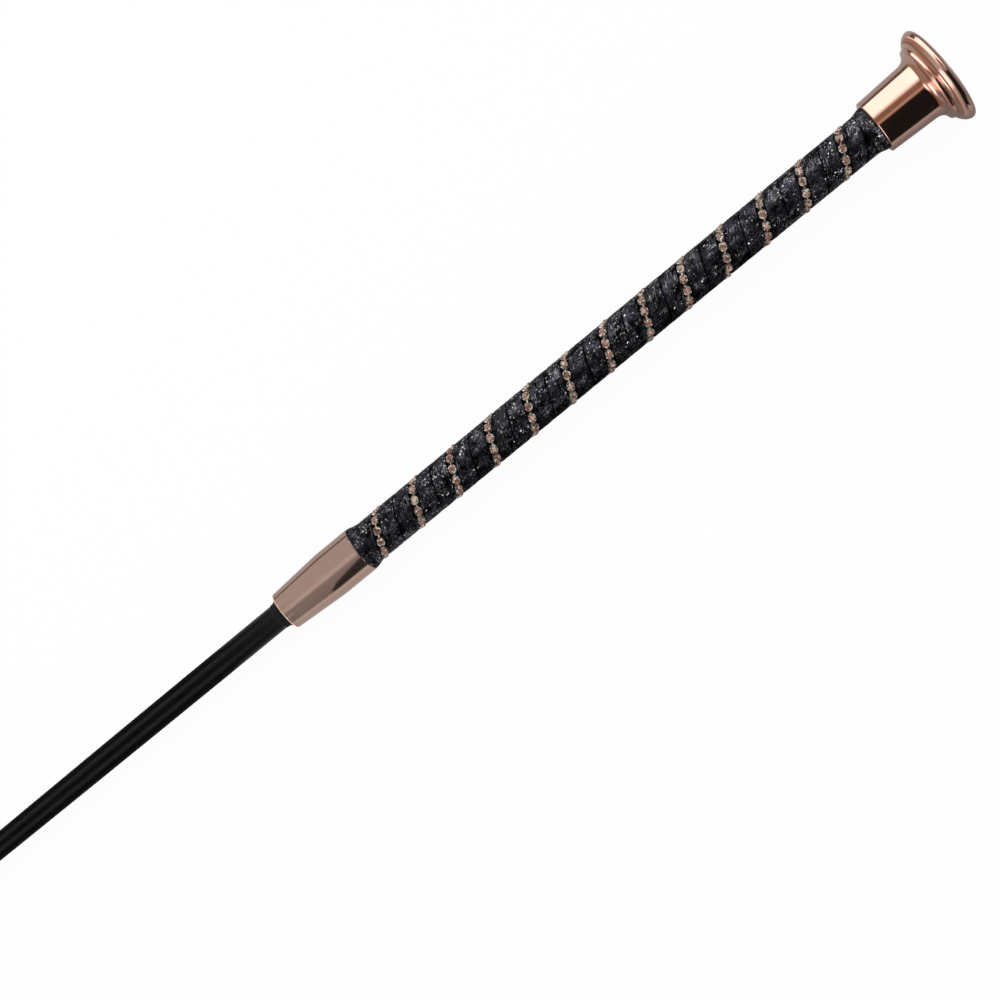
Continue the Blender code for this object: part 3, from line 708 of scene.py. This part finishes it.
BAND_INNER_RADIUS = 0.0079
BAND_FOOT_RADIUS = 0.00822
BAND_MOUTH_RADIUS = 0.0091
BAND_LENGTH = 0.0042
BAND_GAP = 0.0002
for name, node, mouth, heading in (
    ("upper_band", "upper_end_band", 0.0, -1.0),
    ("lower_band", "lower_end_band", FERRULE_TOP, 1.0),
):
    share = np.linspace(0.0, 1.0, 12)
    flare = BAND_MOUTH_RADIUS + (BAND_FOOT_RADIUS - BAND_MOUTH_RADIUS) * smooth_step(share)
    depth = mouth + heading * (BAND_GAP + BAND_LENGTH * share)
    outline = (
        (BAND_INNER_RADIUS, depth[0]),
        joined(flare, depth),
        (BAND_INNER_RADIUS, depth[-1]),
    )
    fit(turned(name, outline, black_glitter), "whip", "black_tape", node)

# Cap sleeve: a turned and plated metal sleeve in polished rose gold, slightly conical, that opens into a
# horn with a round lip. It is pressed over the top of the wound grip.

MOUTH_RADIUS = 0.01065
MOUTH_EDGE = 0.0004
NECK_RADIUS = 0.01145
FLARE_RADIUS = 0.0046
FLARE_START = 0.0190
FLARE_SWEEP = 78.0
LIP_RADIUS = 0.0156
LIP_ROUND = 0.0012
LIP_HEIGHT = 0.0248
LIP_FROM = -55.0
LIP_TO = 9.6
SLEEVE_TOP = 0.0250
SPIGOT_BORE = 0.0063
SLEEVE_STEP = 0.0212
GOLD = (0.70, 0.43, 0.345, 1.0)
GOLD_RUBBED = (0.73, 0.47, 0.39, 1.0)

neck_share = np.linspace(0.0, 1.0, 12)
outline = (
    arc((MOUTH_RADIUS - MOUTH_EDGE, MOUTH_EDGE), MOUTH_EDGE, -90.0, -5.0, 8),
    joined(
        MOUTH_RADIUS + (NECK_RADIUS - MOUTH_RADIUS) * neck_share,
        MOUTH_EDGE + (FLARE_START - MOUTH_EDGE) * neck_share,
    ),
    arc((NECK_RADIUS + FLARE_RADIUS, FLARE_START), FLARE_RADIUS, 178.0, 180.0 - FLARE_SWEEP, 40),
    arc((LIP_RADIUS - LIP_ROUND, LIP_HEIGHT), LIP_ROUND, LIP_FROM, LIP_TO, 24),
    (SPIGOT_BORE, SLEEVE_TOP),
    (SPIGOT_BORE, SLEEVE_STEP),
    (MOUTH_BORE, SLEEVE_STEP),
    (MOUTH_BORE, 0.0),
)
rose_gold = polished_metal("rose_gold", GOLD, GOLD_RUBBED, roughness=0.07)
sleeve = turned("cap_sleeve", outline, rose_gold, columns=600)
fit(sleeve, "whip", "rose_gold", "cap_body")

# Cap button: a turned disc of the same rose gold, bellied underneath, with a round edge and a flat end.
# Its spigot is pressed into the sleeve, so that its belly meets the sleeve's round lip.

BUTTON_RADIUS = 0.0194
BUTTON_BASE = 0.02502
BUTTON_SEAT_RADIUS = 0.0156
BELLY_SWELL = 1.25
BUTTON_ROUND = 0.0015
LAND_FOOT = 0.0289
SPIGOT_RADIUS = 0.0060
belly = (BUTTON_RADIUS - BUTTON_SEAT_RADIUS, LAND_FOOT - BUTTON_BASE)
shoulder = (BUTTON_RADIUS - BUTTON_ROUND, CAP_LENGTH - BUTTON_ROUND)
swing = np.radians(np.linspace(-90.0, 0.0, 40))
belly_radius = BUTTON_SEAT_RADIUS + belly[0] * np.cos(swing) ** BELLY_SWELL
belly_height = LAND_FOOT - belly[1] * np.abs(np.sin(swing)) ** BELLY_SWELL
outline = (
    (0.0, SLEEVE_STEP),
    (SPIGOT_RADIUS, SLEEVE_STEP),
    (SPIGOT_RADIUS, BUTTON_BASE),
    joined(belly_radius, belly_height),
    arc(shoulder, BUTTON_ROUND, 0.0, 90.0, 16),
    (0.5 * BUTTON_RADIUS, CAP_LENGTH),
    (0.0, CAP_LENGTH),
)
button = turned("cap_disc", outline, rose_gold, hollow=False, columns=600)
fit(button, "whip", "rose_gold", "cap_button")

# Tip binding: black waxed thread, whipped tightly round the shaft's tip and the lash's root, turn by turn.
# The turns swell over the joint and run out at both ends.

BINDING_TOP = -0.8184
BINDING_FOOT = -0.8394
BINDING_RUNOUT = 0.0006
BINDING_RADIUS = 0.00278
BINDING_FOOT_RADIUS = 0.00255
BINDING_SHOULDER = 0.0028
BINDING_BORE_TOP = 0.00232
BINDING_BORE_FOOT = 0.0019
BINDING_BITE = 0.00002
THREAD_PITCH = 0.00042
THREAD_RELIEF = 0.00009
THREAD_DARK = (0.004, 0.004, 0.004, 1.0)
THREAD_LIGHT = (0.012, 0.012, 0.013, 1.0)

black_thread, shader, place = start_finish("black_thread", {})
lay = place.lay()
plies = 0.5 + 0.5 * (lay.part(0) * 420.0 + lay.part(1) * 9000.0).maths('SINE')
wax = place.noise(500.0, 3.0)
(0.4 * plies + 0.6 * wax).mix(THREAD_DARK, THREAD_LIGHT).into(shader, "Base Color")
(0.38 + 0.25 * wax).into(shader, "Roughness")
plies.bump(0.00002).into(shader, "Normal")

turn = np.linspace(0.0, 1.0, 65)[None, :]
height = np.linspace(BINDING_TOP, BINDING_FOOT - BINDING_RUNOUT, 340)[:, None]
share = (BINDING_TOP - height) / (BINDING_TOP - BINDING_FOOT + BINDING_RUNOUT)
body_radius = BINDING_RADIUS + (BINDING_FOOT_RADIUS - BINDING_RADIUS) * share
from_end = np.minimum(BINDING_TOP - height, height - BINDING_FOOT + BINDING_RUNOUT)
end_radius = np.where(share < 0.5, BINDING_BORE_TOP, BINDING_BORE_FOOT) + THREAD_RELIEF
swell = np.sqrt(smooth_step(from_end / BINDING_SHOULDER))
ridge = np.abs(np.sin(np.pi * (height / THREAD_PITCH + turn)))
radius = end_radius + (body_radius - end_radius) * swell + THREAD_RELIEF * (ridge - 1.0)
outer = on_whip(radius, 2.0 * np.pi * turn, height)
bore_top = on_whip(BINDING_BORE_TOP - BINDING_BITE, 2.0 * np.pi * turn, BINDING_TOP)
bore_foot = on_whip(BINDING_BORE_FOOT - BINDING_BITE, 2.0 * np.pi * turn, BINDING_FOOT - BINDING_RUNOUT)
points = np.concatenate((bore_top, outer, bore_foot))[:, :-1]
lay = joined(turn, height)
lay = np.concatenate((lay[:1], lay, lay[-1:], lay[:1]))
binding = surface("thread_binding", points, lay, black_thread, loop=True, sharp=180.0)
fit(binding, "whip", "black_thread", "tip_binding")
frame["nodes"]["lash_tail"].material_slots[0].material = black_thread

# Lash: a limp round cord of black braided nylon, bound to the tip by its root, with a fused cut end that
# has spread a little. It lies on the floor from the binding on, and the record's joint swings it about its root.

LASH_LENGTH = 0.130
LASH_TURN = math.radians(8.0)
LASH_ROOT_RADIUS = 0.00175
LASH_WAIST_RADIUS = 0.00142
LASH_NECK_RADIUS = 0.0016
LASH_END_RADIUS = 0.0024
LASH_FLARE = 0.011
LASH_SETTLE = 0.030
LASH_FLOOR_GAP = 0.0002
LASH_RELIEF = 0.00012
LASH_STRANDS = 6
LASH_STRAND_RISE = 0.0019
LASH_BEND_START = -0.0025
LASH_BEND_END = 0.0045
LASH_PLACES = np.array((0.0, 0.15, 0.42, 0.69, 1.0))
LASH_SIDES = np.array((0.0, 0.0006, -0.0004, -0.0003, 0.0003))
FUSED_SHARES = (0.93, 0.75, 0.4, 0.0)
FUSED_BULGES = (0.00022, 0.00038, 0.00046, 0.0005)
YARN_DARK = (0.004, 0.004, 0.004, 1.0)
YARN_LIGHT = (0.010, 0.010, 0.0105, 1.0)
lash_pivot = np.array(frame["joints"][0]["pos_m"])


def lash_radius(along):
    """Radius of the lash: a smooth step from root to waist, one from waist to neck, then a straight flare."""
    half = LASH_LENGTH / 2.0
    flare_start = LASH_LENGTH - LASH_FLARE
    radius = LASH_ROOT_RADIUS + (LASH_WAIST_RADIUS - LASH_ROOT_RADIUS) * smooth_step(along / half)
    radius += (LASH_NECK_RADIUS - LASH_WAIST_RADIUS) * smooth_step((along - half) / (flare_start - half))
    spread = np.clip((along - flare_start) / LASH_FLARE, 0.0, 1.0)
    return radius + (LASH_END_RADIUS - LASH_NECK_RADIUS) * spread


def lash_centre(along):
    """Points on the lash's middle: a smooth curve through its route, settling from the binding to the floor.

    Between two points of the route the sideways place is a cubic that leaves and arrives at half the step
    between the points before and after.
    """
    place = np.clip(along / LASH_LENGTH, 0.0, 1.0)
    last = len(LASH_PLACES) - 1
    index = np.clip(np.searchsorted(LASH_PLACES, place, side='right') - 1, 0, last - 1)
    before = LASH_SIDES[np.maximum(index - 1, 0)]
    start = LASH_SIDES[index]
    end = LASH_SIDES[index + 1]
    after = LASH_SIDES[np.minimum(index + 2, last)]
    share = (place - LASH_PLACES[index]) / (LASH_PLACES[index + 1] - LASH_PLACES[index])
    step = smooth_step(share)
    sideways = start + (end - start) * step
    sideways += (share ** 3 - 2.0 * share ** 2 + share) * (end - before) / 2.0
    sideways += (share ** 3 - share ** 2) * (after - start) / 2.0
    heading = math.pi - LASH_TURN
    x = lash_pivot[0] + along * math.cos(heading) - sideways * math.sin(heading)
    y = lash_pivot[1] + along * math.sin(heading) + sideways * math.cos(heading)
    settled = smooth_step(along / LASH_SETTLE)
    z = lash_pivot[2] + (lash_radius(along) + LASH_FLOOR_GAP - lash_pivot[2]) * settled
    return joined(x, y, z)


along = np.concatenate((
    -LASH_ROOT_RADIUS * np.cos(np.linspace(0.0, np.pi / 2.0, 7))[:-1],
    np.linspace(0.0, LASH_LENGTH, 620),
))
rounded_root = np.sqrt(np.clip(1.0 - (np.minimum(along, 0.0) / LASH_ROOT_RADIUS) ** 2, 0.0, 1.0))
centre = lash_centre(along)
heading = np.gradient(centre, axis=0)
heading /= np.linalg.norm(heading, axis=1)[:, None]
level = np.cross((0.0, 0.0, 1.0), heading)
level /= np.linalg.norm(level, axis=1)[:, None]
upward = np.cross(heading, level)
turn = np.linspace(0.0, 1.0, 41)[None, :]
relief, lay = braid(turn, along[:, None], LASH_STRANDS, LASH_STRAND_RISE)
radius = rounded_root[:, None] * (lash_radius(along)[:, None] + LASH_RELIEF * (relief - 1.0))
swing = (2.0 * np.pi * turn)[..., None]
ring = np.cos(swing) * level[:, None] + np.sin(swing) * upward[:, None]
skin = centre[:, None] + radius[..., None] * ring
fused = [
    centre[-1] + share * radius[-1:, :, None] * ring[-1:] + bulge * heading[-1]
    for share, bulge in zip(FUSED_SHARES, FUSED_BULGES)
]
points = np.concatenate((skin, *fused))[:, :-1]
lay = np.concatenate((lay, np.repeat(lay[-1:], len(fused), axis=0)))
lash_yarn = braid_finish("lash_yarn", YARN_DARK, YARN_LIGHT, fibres_per_strand=4.0, gloss=0.2)
lash = surface("lash_cord", points, lay, lash_yarn, sharp=180.0)
bend_start, bend_end = lash_centre(np.array((LASH_BEND_START, LASH_BEND_END)))
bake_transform(lash)
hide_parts("lash")
route = lash_centre(np.linspace(0.0, LASH_LENGTH, 40))

# Floor: a wide white sheet under the whip. Seen straight on or in a shiny surface it is plain white, and it
# keeps the whip's soft shadow.

FLOOR_HALF = 3.0
FLOOR_GLOW = 0.955


def grey(level):
    """A neutral colour of one level."""
    return (level, level, level, 1.0)


def stage_sheet(name, points, lay, finish):
    """An open sheet through a grid of points, which is no part of the whip."""
    rows, columns = points.shape[:2]
    index = np.arange(rows * columns).reshape(rows, columns)
    sheet = add_mesh(name, points, corners(index).reshape(-1, 4), finish)
    sheet.data.uv_layers.new(name="lay").data.foreach_set("uv", corners(lay).ravel())
    sheet.data.shade_smooth()
    return sheet


def level_sheet(name, x, y, height, finish):
    """A level sheet between two places in x and two in y, with x and y as its lay."""
    x, y = np.meshgrid(x, y)
    return stage_sheet(name, joined(x, y, height), joined(x, y), finish)


def seen_directly(wire):
    """1 for rays from the camera, from shiny surfaces and through clear ones, and otherwise 0."""
    names = ("Is Camera Ray", "Is Glossy Ray", "Is Transmission Ray")
    straight, shiny, clear = [wire.node('ShaderNodeLightPath', {}, {}, name) for name in names]
    return (straight + shiny + clear).maths('MINIMUM', 1.0)


white_floor, shader, place = start_finish("white_floor", {"Roughness": 0.9, "Specular IOR Level": 0.0})
tree = white_floor.node_tree
place.noise(900.0).mix(grey(0.88), grey(0.92)).into(shader, "Base Color")
glow = tree.nodes.new('ShaderNodeEmission')
lit = Wire(tree, shader.outputs[0])
both = lit.node('ShaderNodeMixShader', {}, {
    0: FLOOR_GLOW * seen_directly(place),
    1: lit,
    2: Wire(tree, glow.outputs[0]),
})
both.into(tree.nodes["Material Output"], "Surface")
level_sheet("floor", (-FLOOR_HALF, FLOOR_HALF), (-FLOOR_HALF, FLOOR_HALF), 0.0, white_floor)

# Light tent: a half tunnel of glowing cloth along the whip, which only shiny surfaces see.
# It is lit in panels: by the cap a bright far side and a black near side, and others by the grip, the shaft
# and the ferrule, where a dark wedge hangs in it.

TENT_RADIUS = 0.09
TENT_HALF = 102.0
TENT_TOP = 0.60
TENT_FOOT = -1.1
GLOW = 2.2
COPPER = (0.30, 0.19, 0.135, 1.0)
ORANGE = (0.60, 0.44, 0.35, 1.0)
CAP_TENT = (
    (grey(0.47), -102.0, -94.0),
    (grey(0.014), -92.0, -5.0),
    (ORANGE, -2.0, 4.0),
    (COPPER, 8.0, 22.0),
    (grey(2.1), 37.0, 94.0),
    (grey(0.12), 95.5),
)
RIM_TENT = (
    (grey(0.34), -102.0, -78.0),
    (grey(0.014), -66.0, -50.0),
    (grey(0.05), -6.0),
    (grey(0.15), 0.0),
    (grey(1.0), 10.0),
    (grey(2.1), 24.0, 86.0),
    (grey(0.42), 98.0),
)
GRIP_TENT = (
    (grey(0.10), -102.0),
    (grey(0.05), -90.0, -57.0),
    (grey(1.8), -55.0, -51.0),
    (grey(0.05), -48.5, -10.0),
    (grey(0.28), 0.0),
    (grey(0.30), 20.0),
    (grey(0.48), 34.0, 58.0),
    (grey(2.2), 60.0, 66.0),
    (grey(0.48), 68.0, 102.0),
)
FERRULE_TENT = (
    (grey(0.58), -102.0),
    (grey(0.56), -82.0),
    (grey(0.25), -77.0),
    (grey(0.28), -17.0),
    (grey(0.38), -10.0),
    (grey(0.60), -4.0),
    (grey(0.58), 6.0),
    (grey(0.49), 16.0, 94.0),
    (grey(0.12), 95.5),
)
SHAFT_TENT = (
    (grey(0.02), -102.0, -48.0),
    (grey(2.0), -36.0),
    (grey(0.02), -24.0, 36.0),
    (grey(2.0), 49.0),
    (grey(0.02), 62.0, 102.0),
)
BEYOND_CAP = grey(0.28)
ABOVE_FERRULE = grey(0.12)
CAP_VIEW_FOOT = -0.003
RIM_VIEW_FOOT = 0.032
CAP_VIEW_FADE = (0.050, 0.060)
DULL_VIEW_TOP = -0.234
FERRULE_VIEW_TOP = -0.2525
SHAFT_VIEW_TOP = -0.313
WEDGE_BLACK = grey(0.035)
WEDGE_TOP = -0.2595
WEDGE_POINT = -0.2855
WEDGE_NEAR = -77.0
WEDGE_FAR_FOOT = -62.0
WEDGE_FAR_TOP = -24.0
WEDGE_BLUR = 4.0


def dimmed(shade):
    """A colour as it is written, for a cloth whose strength is the glow."""
    return tuple(part / GLOW for part in shade[:3]) + (1.0,)


def tent_ramp(angle, panels):
    """Colour round the tent by its angle in degrees from straight up, from the near foot to the far foot.

    A panel is a shade and the angles at which it starts and ends, or one angle where it is a narrow line.
    Between two panels the shade passes over evenly.
    """
    stops = [(at, dimmed(shade)) for shade, *angles in panels for at in angles]
    stops = [((at + TENT_HALF) / (2.0 * TENT_HALF), shade) for at, shade in stops]
    return angle.node('ShaderNodeValToRGB', {"stops": stops}, {"Fac": angle.step(-TENT_HALF, TENT_HALF)})


def glowing_cloth(name, strength):
    """A cloth that gives off light: its material, its emission shader and the two parts of its lay."""
    cloth = bpy.data.materials.new(name)
    cloth.use_nodes = True
    tree = cloth.node_tree
    tree.nodes.remove(tree.nodes["Principled BSDF"])
    glow = tree.nodes.new('ShaderNodeEmission')
    glow.inputs["Strength"].default_value = strength
    light = Wire(tree, glow.outputs[0])
    light.into(tree.nodes["Material Output"], "Surface")
    lay = light.lay()
    return cloth, glow, lay.part(0), lay.part(1)


tent_cloth, glow, angle, height = glowing_cloth("tent_cloth", GLOW)
by_cap = (height > CAP_VIEW_FOOT).mix(tent_ramp(angle, GRIP_TENT), tent_ramp(angle, CAP_TENT))
by_cap = (height > RIM_VIEW_FOOT).mix(by_cap, tent_ramp(angle, RIM_TENT))
by_cap = height.step(*CAP_VIEW_FADE).mix(by_cap, dimmed(BEYOND_CAP))
far_edge = WEDGE_FAR_FOOT + (WEDGE_FAR_TOP - WEDGE_FAR_FOOT) * height.step(WEDGE_POINT, WEDGE_TOP)
wedge = (far_edge - angle).step(0.0, WEDGE_BLUR) * (angle > WEDGE_NEAR) * (height > WEDGE_POINT)
by_ferrule = wedge.mix(tent_ramp(angle, FERRULE_TENT), dimmed(WEDGE_BLACK))
below_grip = (height < DULL_VIEW_TOP).mix(by_cap, dimmed(ABOVE_FERRULE))
below_grip = (height < FERRULE_VIEW_TOP).mix(below_grip, by_ferrule)
(height < SHAFT_VIEW_TOP).mix(below_grip, tent_ramp(angle, SHAFT_TENT)).into(glow, "Color")

bow = np.linspace(-TENT_HALF, TENT_HALF, 90)[None, :]
height = np.linspace(TENT_TOP, TENT_FOOT, 60)[:, None]
lay = joined(bow, height)
tent = stage_sheet("light_tent", on_whip(TENT_RADIUS, np.pi - np.radians(bow), height), lay, tent_cloth)

# Cards of the tent: rings of the same cloth across it, at the cap's mouth with a bright window in it, close
# under the button, and at the ferrule's foot. A strip of it lies on the ground between the tent's feet.

SHADOW_SIDE = (0.40, 0.31, 0.25, 1.0)
MOUTH_CARD_HOLE = 0.012
MOUTH_CARD_CORE = (
    (grey(0.25), -102.0),
    (grey(0.28), -68.0),
    (grey(0.47), -54.0),
    (grey(2.2), -38.0, -8.0),
    (SHADOW_SIDE, 2.0, 102.0),
)
MOUTH_CARD_INSIDE = (
    (grey(0.45), -102.0, -68.0),
    (grey(0.8), -58.0),
    (grey(2.2), -46.0, -8.0),
    (SHADOW_SIDE, 2.0, 102.0),
)
MOUTH_CARD_RING = (
    (COPPER, -102.0, -30.0),
    (ORANGE, -20.0, 2.0),
    (SHADOW_SIDE, 10.0, 102.0),
)
MOUTH_CARD_WINDOW = (
    (COPPER, -102.0, -30.0),
    (grey(2.2), -18.0, 2.0),
    (SHADOW_SIDE, 10.0, 102.0),
)
INSIDE_FADE = (0.017, 0.020)
RING_FADE = (0.0214, 0.0272)
WINDOW_FADE = (0.031, 0.035)
WINDOW_END_FADE = 0.0012
HALO_FADE = (-0.0070, -0.0056)
WINDOW_SCALE = 0.1 * GLOW
# How far out the window reaches at each angle, written as a grey: a level of 0.5 is a radius of 50 mm.
WINDOW_ENDS = (
    (grey(0.55), -102.0),
    (grey(0.52), -92.0),
    (grey(0.45), -80.0),
    (grey(0.37), -60.0, -40.0),
    (grey(0.44), -20.0),
    (grey(0.56), -5.0, 8.0),
    (grey(0.45), 20.0),
    (grey(0.39), 35.0, 66.0),
    (grey(0.43), 82.0),
    (grey(0.51), 94.0),
    (grey(0.55), 102.0),
)


def ring_card(name, radius, height, finish):
    """A sheet across the tent: bows of some radii at one height, with angle and radius as its lay."""
    radius = np.array(radius)[:, None]
    lay = joined(bow, radius)
    return stage_sheet(name, on_whip(radius, np.pi - np.radians(bow), height), lay, finish)


mouth_cloth, glow, angle, radius = glowing_cloth("collar_cloth", GLOW)
past_end = radius - WINDOW_SCALE * tent_ramp(angle, WINDOW_ENDS)
shade = radius.step(*INSIDE_FADE).mix(tent_ramp(angle, MOUTH_CARD_CORE), tent_ramp(angle, MOUTH_CARD_INSIDE))
shade = radius.step(*RING_FADE).mix(shade, tent_ramp(angle, MOUTH_CARD_RING))
shade = radius.step(*WINDOW_FADE).mix(shade, tent_ramp(angle, MOUTH_CARD_WINDOW))
shade = past_end.step(*HALO_FADE).mix(shade, dimmed(COPPER))
shade = past_end.step(-WINDOW_END_FADE, WINDOW_END_FADE).mix(shade, tent_ramp(angle, CAP_TENT))
seen_from_grip = angle.node('ShaderNodeNewGeometry', {}, {}, "Backfacing")
seen_from_grip.mix(shade, tent_ramp(angle, GRIP_TENT)).into(glow, "Color")
mouth_radii = np.linspace(MOUTH_CARD_HOLE, TENT_RADIUS, 24)
mouth_card = ring_card("tent_collar", mouth_radii, CAP_VIEW_FOOT, mouth_cloth)

BUTTON_CARD_HEIGHT = 0.0246
BUTTON_CARD_HOLE = 0.0179
BUTTON_CARD_RADIUS = 0.0266
BUTTON_VIEW = (
    (grey(0.26), -102.0),
    (grey(0.44), -75.0),
    (grey(0.48), -61.0),
    (grey(0.55), -44.0),
    (grey(0.75), -28.0),
    (grey(2.2), -19.0, -2.0),
    (grey(0.60), 5.0),
    (grey(0.52), 21.0),
    (SHADOW_SIDE, 44.0, 102.0),
)
BUTTON_INNER_FADE = (0.0186, 0.0193)
BUTTON_OUTER_FADE = (0.0203, 0.0238)
BUTTON_FAR_SHIFT = 0.0026
BUTTON_FAR_ANGLE = 25.0
button_cloth, glow, angle, radius = glowing_cloth("button_cloth", GLOW)
shade = radius.step(*BUTTON_INNER_FADE).mix(dimmed(COPPER), tent_ramp(angle, BUTTON_VIEW))
outer = (radius - BUTTON_FAR_SHIFT * angle.step(0.0, BUTTON_FAR_ANGLE)).step(*BUTTON_OUTER_FADE)
outer.mix(shade, tent_ramp(angle, RIM_TENT)).into(glow, "Color")
button_radii = np.linspace(BUTTON_CARD_HOLE, BUTTON_CARD_RADIUS, 4)
button_card = ring_card("button_card", button_radii, BUTTON_CARD_HEIGHT, button_cloth)

FOOT_CARD_RADII = (0.0085, 0.016)
FOOT_CARD_DROP = 0.0045
FOOT_GLOW = 1.3
foot_cloth = glowing_cloth("foot_cloth", FOOT_GLOW)[0]
foot_card = ring_card("foot_card", FOOT_CARD_RADII, FERRULE_FOOT - FOOT_CARD_DROP, foot_cloth)

GROUND_LIFT = 0.0001
GROUND_TOP = 0.1
GROUND_FOOT = -1.1
GROUND_GREY = grey(0.47)
GROUND_HEM = grey(0.12)
HEM_FADE = (0.055, 0.062)
GROUND_SHADOW_BY_CAP = grey(0.22)
BY_CAP_FADE = (-0.085, -0.025)
BY_CAP_START = (-0.03, -0.01)
GROUND_SHADOW_BY_GRIP = grey(0.08)
BY_GRIP_TOP = (-0.005, -0.06)
BY_GRIP_FOOT = (-0.225, -0.19)
GROUND_BY_SHAFT = grey(0.10)
# On the near side beside the cap and the grip the ground cloth is darker: painted shade of the whip on the ground,
# as shiny surfaces see it.
ground_cloth, glow, x, y = glowing_cloth("ground_cloth", 1.0)
from_mouth = x - cap_mouth[0]
near_side = y < 0.0
shade = y.step(*HEM_FADE).mix(GROUND_GREY, GROUND_HEM)
by_cap = y.step(*BY_CAP_FADE) * near_side * from_mouth.step(*BY_CAP_START)
shade = by_cap.mix(shade, GROUND_SHADOW_BY_CAP)
by_grip = from_mouth.step(*BY_GRIP_TOP) * near_side * from_mouth.step(*BY_GRIP_FOOT)
shade = by_grip.mix(shade, GROUND_SHADOW_BY_GRIP)
(from_mouth < SHAFT_VIEW_TOP).mix(shade, GROUND_BY_SHAFT).into(glow, "Color")
ground_ends = (cap_end[0] + GROUND_FOOT, cap_end[0] + GROUND_TOP)
ground = level_sheet("ground_cloth", ground_ends, (-TENT_RADIUS, TENT_RADIUS), GROUND_LIFT, ground_cloth)
for cloth in (tent, mouth_card, button_card, foot_card, ground):
    cloth.visible_camera = False
    cloth.visible_diffuse = False
    cloth.visible_shadow = False
    cloth.visible_transmission = False

# Room and lamps: a white room, and two large square lamps above the whip, one on each side.
# Shiny surfaces see the tent and the room, and not the lamps.

ROOM_LIGHT = 0.55
LAMP_SIZE = 0.9
LAMP_AIM = np.array((0.2, 0.0, 0.0))


def stand(thing, place, rightward, upward, backward):
    """Put a lamp or a camera at a place, with its own three axes along three directions."""
    columns = joined(rightward, upward, backward)
    thing.matrix_world = Matrix.Translation(place) @ Matrix(columns.tolist()).to_4x4()
    bpy.context.scene.collection.objects.link(thing)


world = bpy.data.worlds.new("studio")
bpy.context.scene.world = world
world.use_nodes = True
background = world.node_tree.nodes["Background"]
background.inputs["Color"].default_value = grey(1.0)
room = Wire(world.node_tree, background.outputs[0])
(ROOM_LIGHT + (1.0 - ROOM_LIGHT) * seen_directly(room)).into(background, "Strength")
for name, place, power in (
    ("key_lamp", (0.10, 0.75, 1.10), 8.5),
    ("fill_lamp", (0.45, -0.70, 0.90), 2.0),
):
    lamp = bpy.data.lights.new(name, 'AREA')
    lamp.shape = 'SQUARE'
    lamp.size = LAMP_SIZE
    lamp.energy = power
    holder = bpy.data.objects.new(name, lamp)
    backward = np.array(place) - LAMP_AIM
    backward /= np.linalg.norm(backward)
    across = np.cross((1.0, 0.0, 0.0), backward)
    across /= np.linalg.norm(across)
    stand(holder, place, across, np.cross(backward, across), backward)
    holder.visible_glossy = False

# Camera: high over the handle, looking down and a little towards the tip, and rolled so that the whip runs
# from the lower left to the upper right of the picture.

LENS = 72.018
SENSOR = 36.0
CAMERA_DISTANCE = 0.740994
CAMERA_LEAN = math.radians(7.117866)
CAMERA_ROLL = math.radians(39.206)
MIDDLE_TO_MOUTH = 0.189896
MIDDLE_TO_AXIS = 0.018539

normal = np.cross(whip_axis, far_side)
forward = -normal * math.cos(CAMERA_LEAN) - whip_axis * math.sin(CAMERA_LEAN)
along = whip_axis * math.cos(CAMERA_LEAN) - normal * math.sin(CAMERA_LEAN)
middle = cap_mouth - whip_axis * MIDDLE_TO_MOUTH
eye = middle - forward * CAMERA_DISTANCE - far_side * MIDDLE_TO_AXIS
rightward = along * math.cos(CAMERA_ROLL) - far_side * math.sin(CAMERA_ROLL)
upward = along * math.sin(CAMERA_ROLL) + far_side * math.cos(CAMERA_ROLL)
lens = bpy.data.cameras.new("camera")
lens.lens = LENS
lens.sensor_width = SENSOR
camera = bpy.data.objects.new("camera", lens)
stand(camera, eye, rightward, upward, -forward)
bpy.context.scene.camera = camera
bpy.context.scene.view_settings.view_transform = 'Standard'
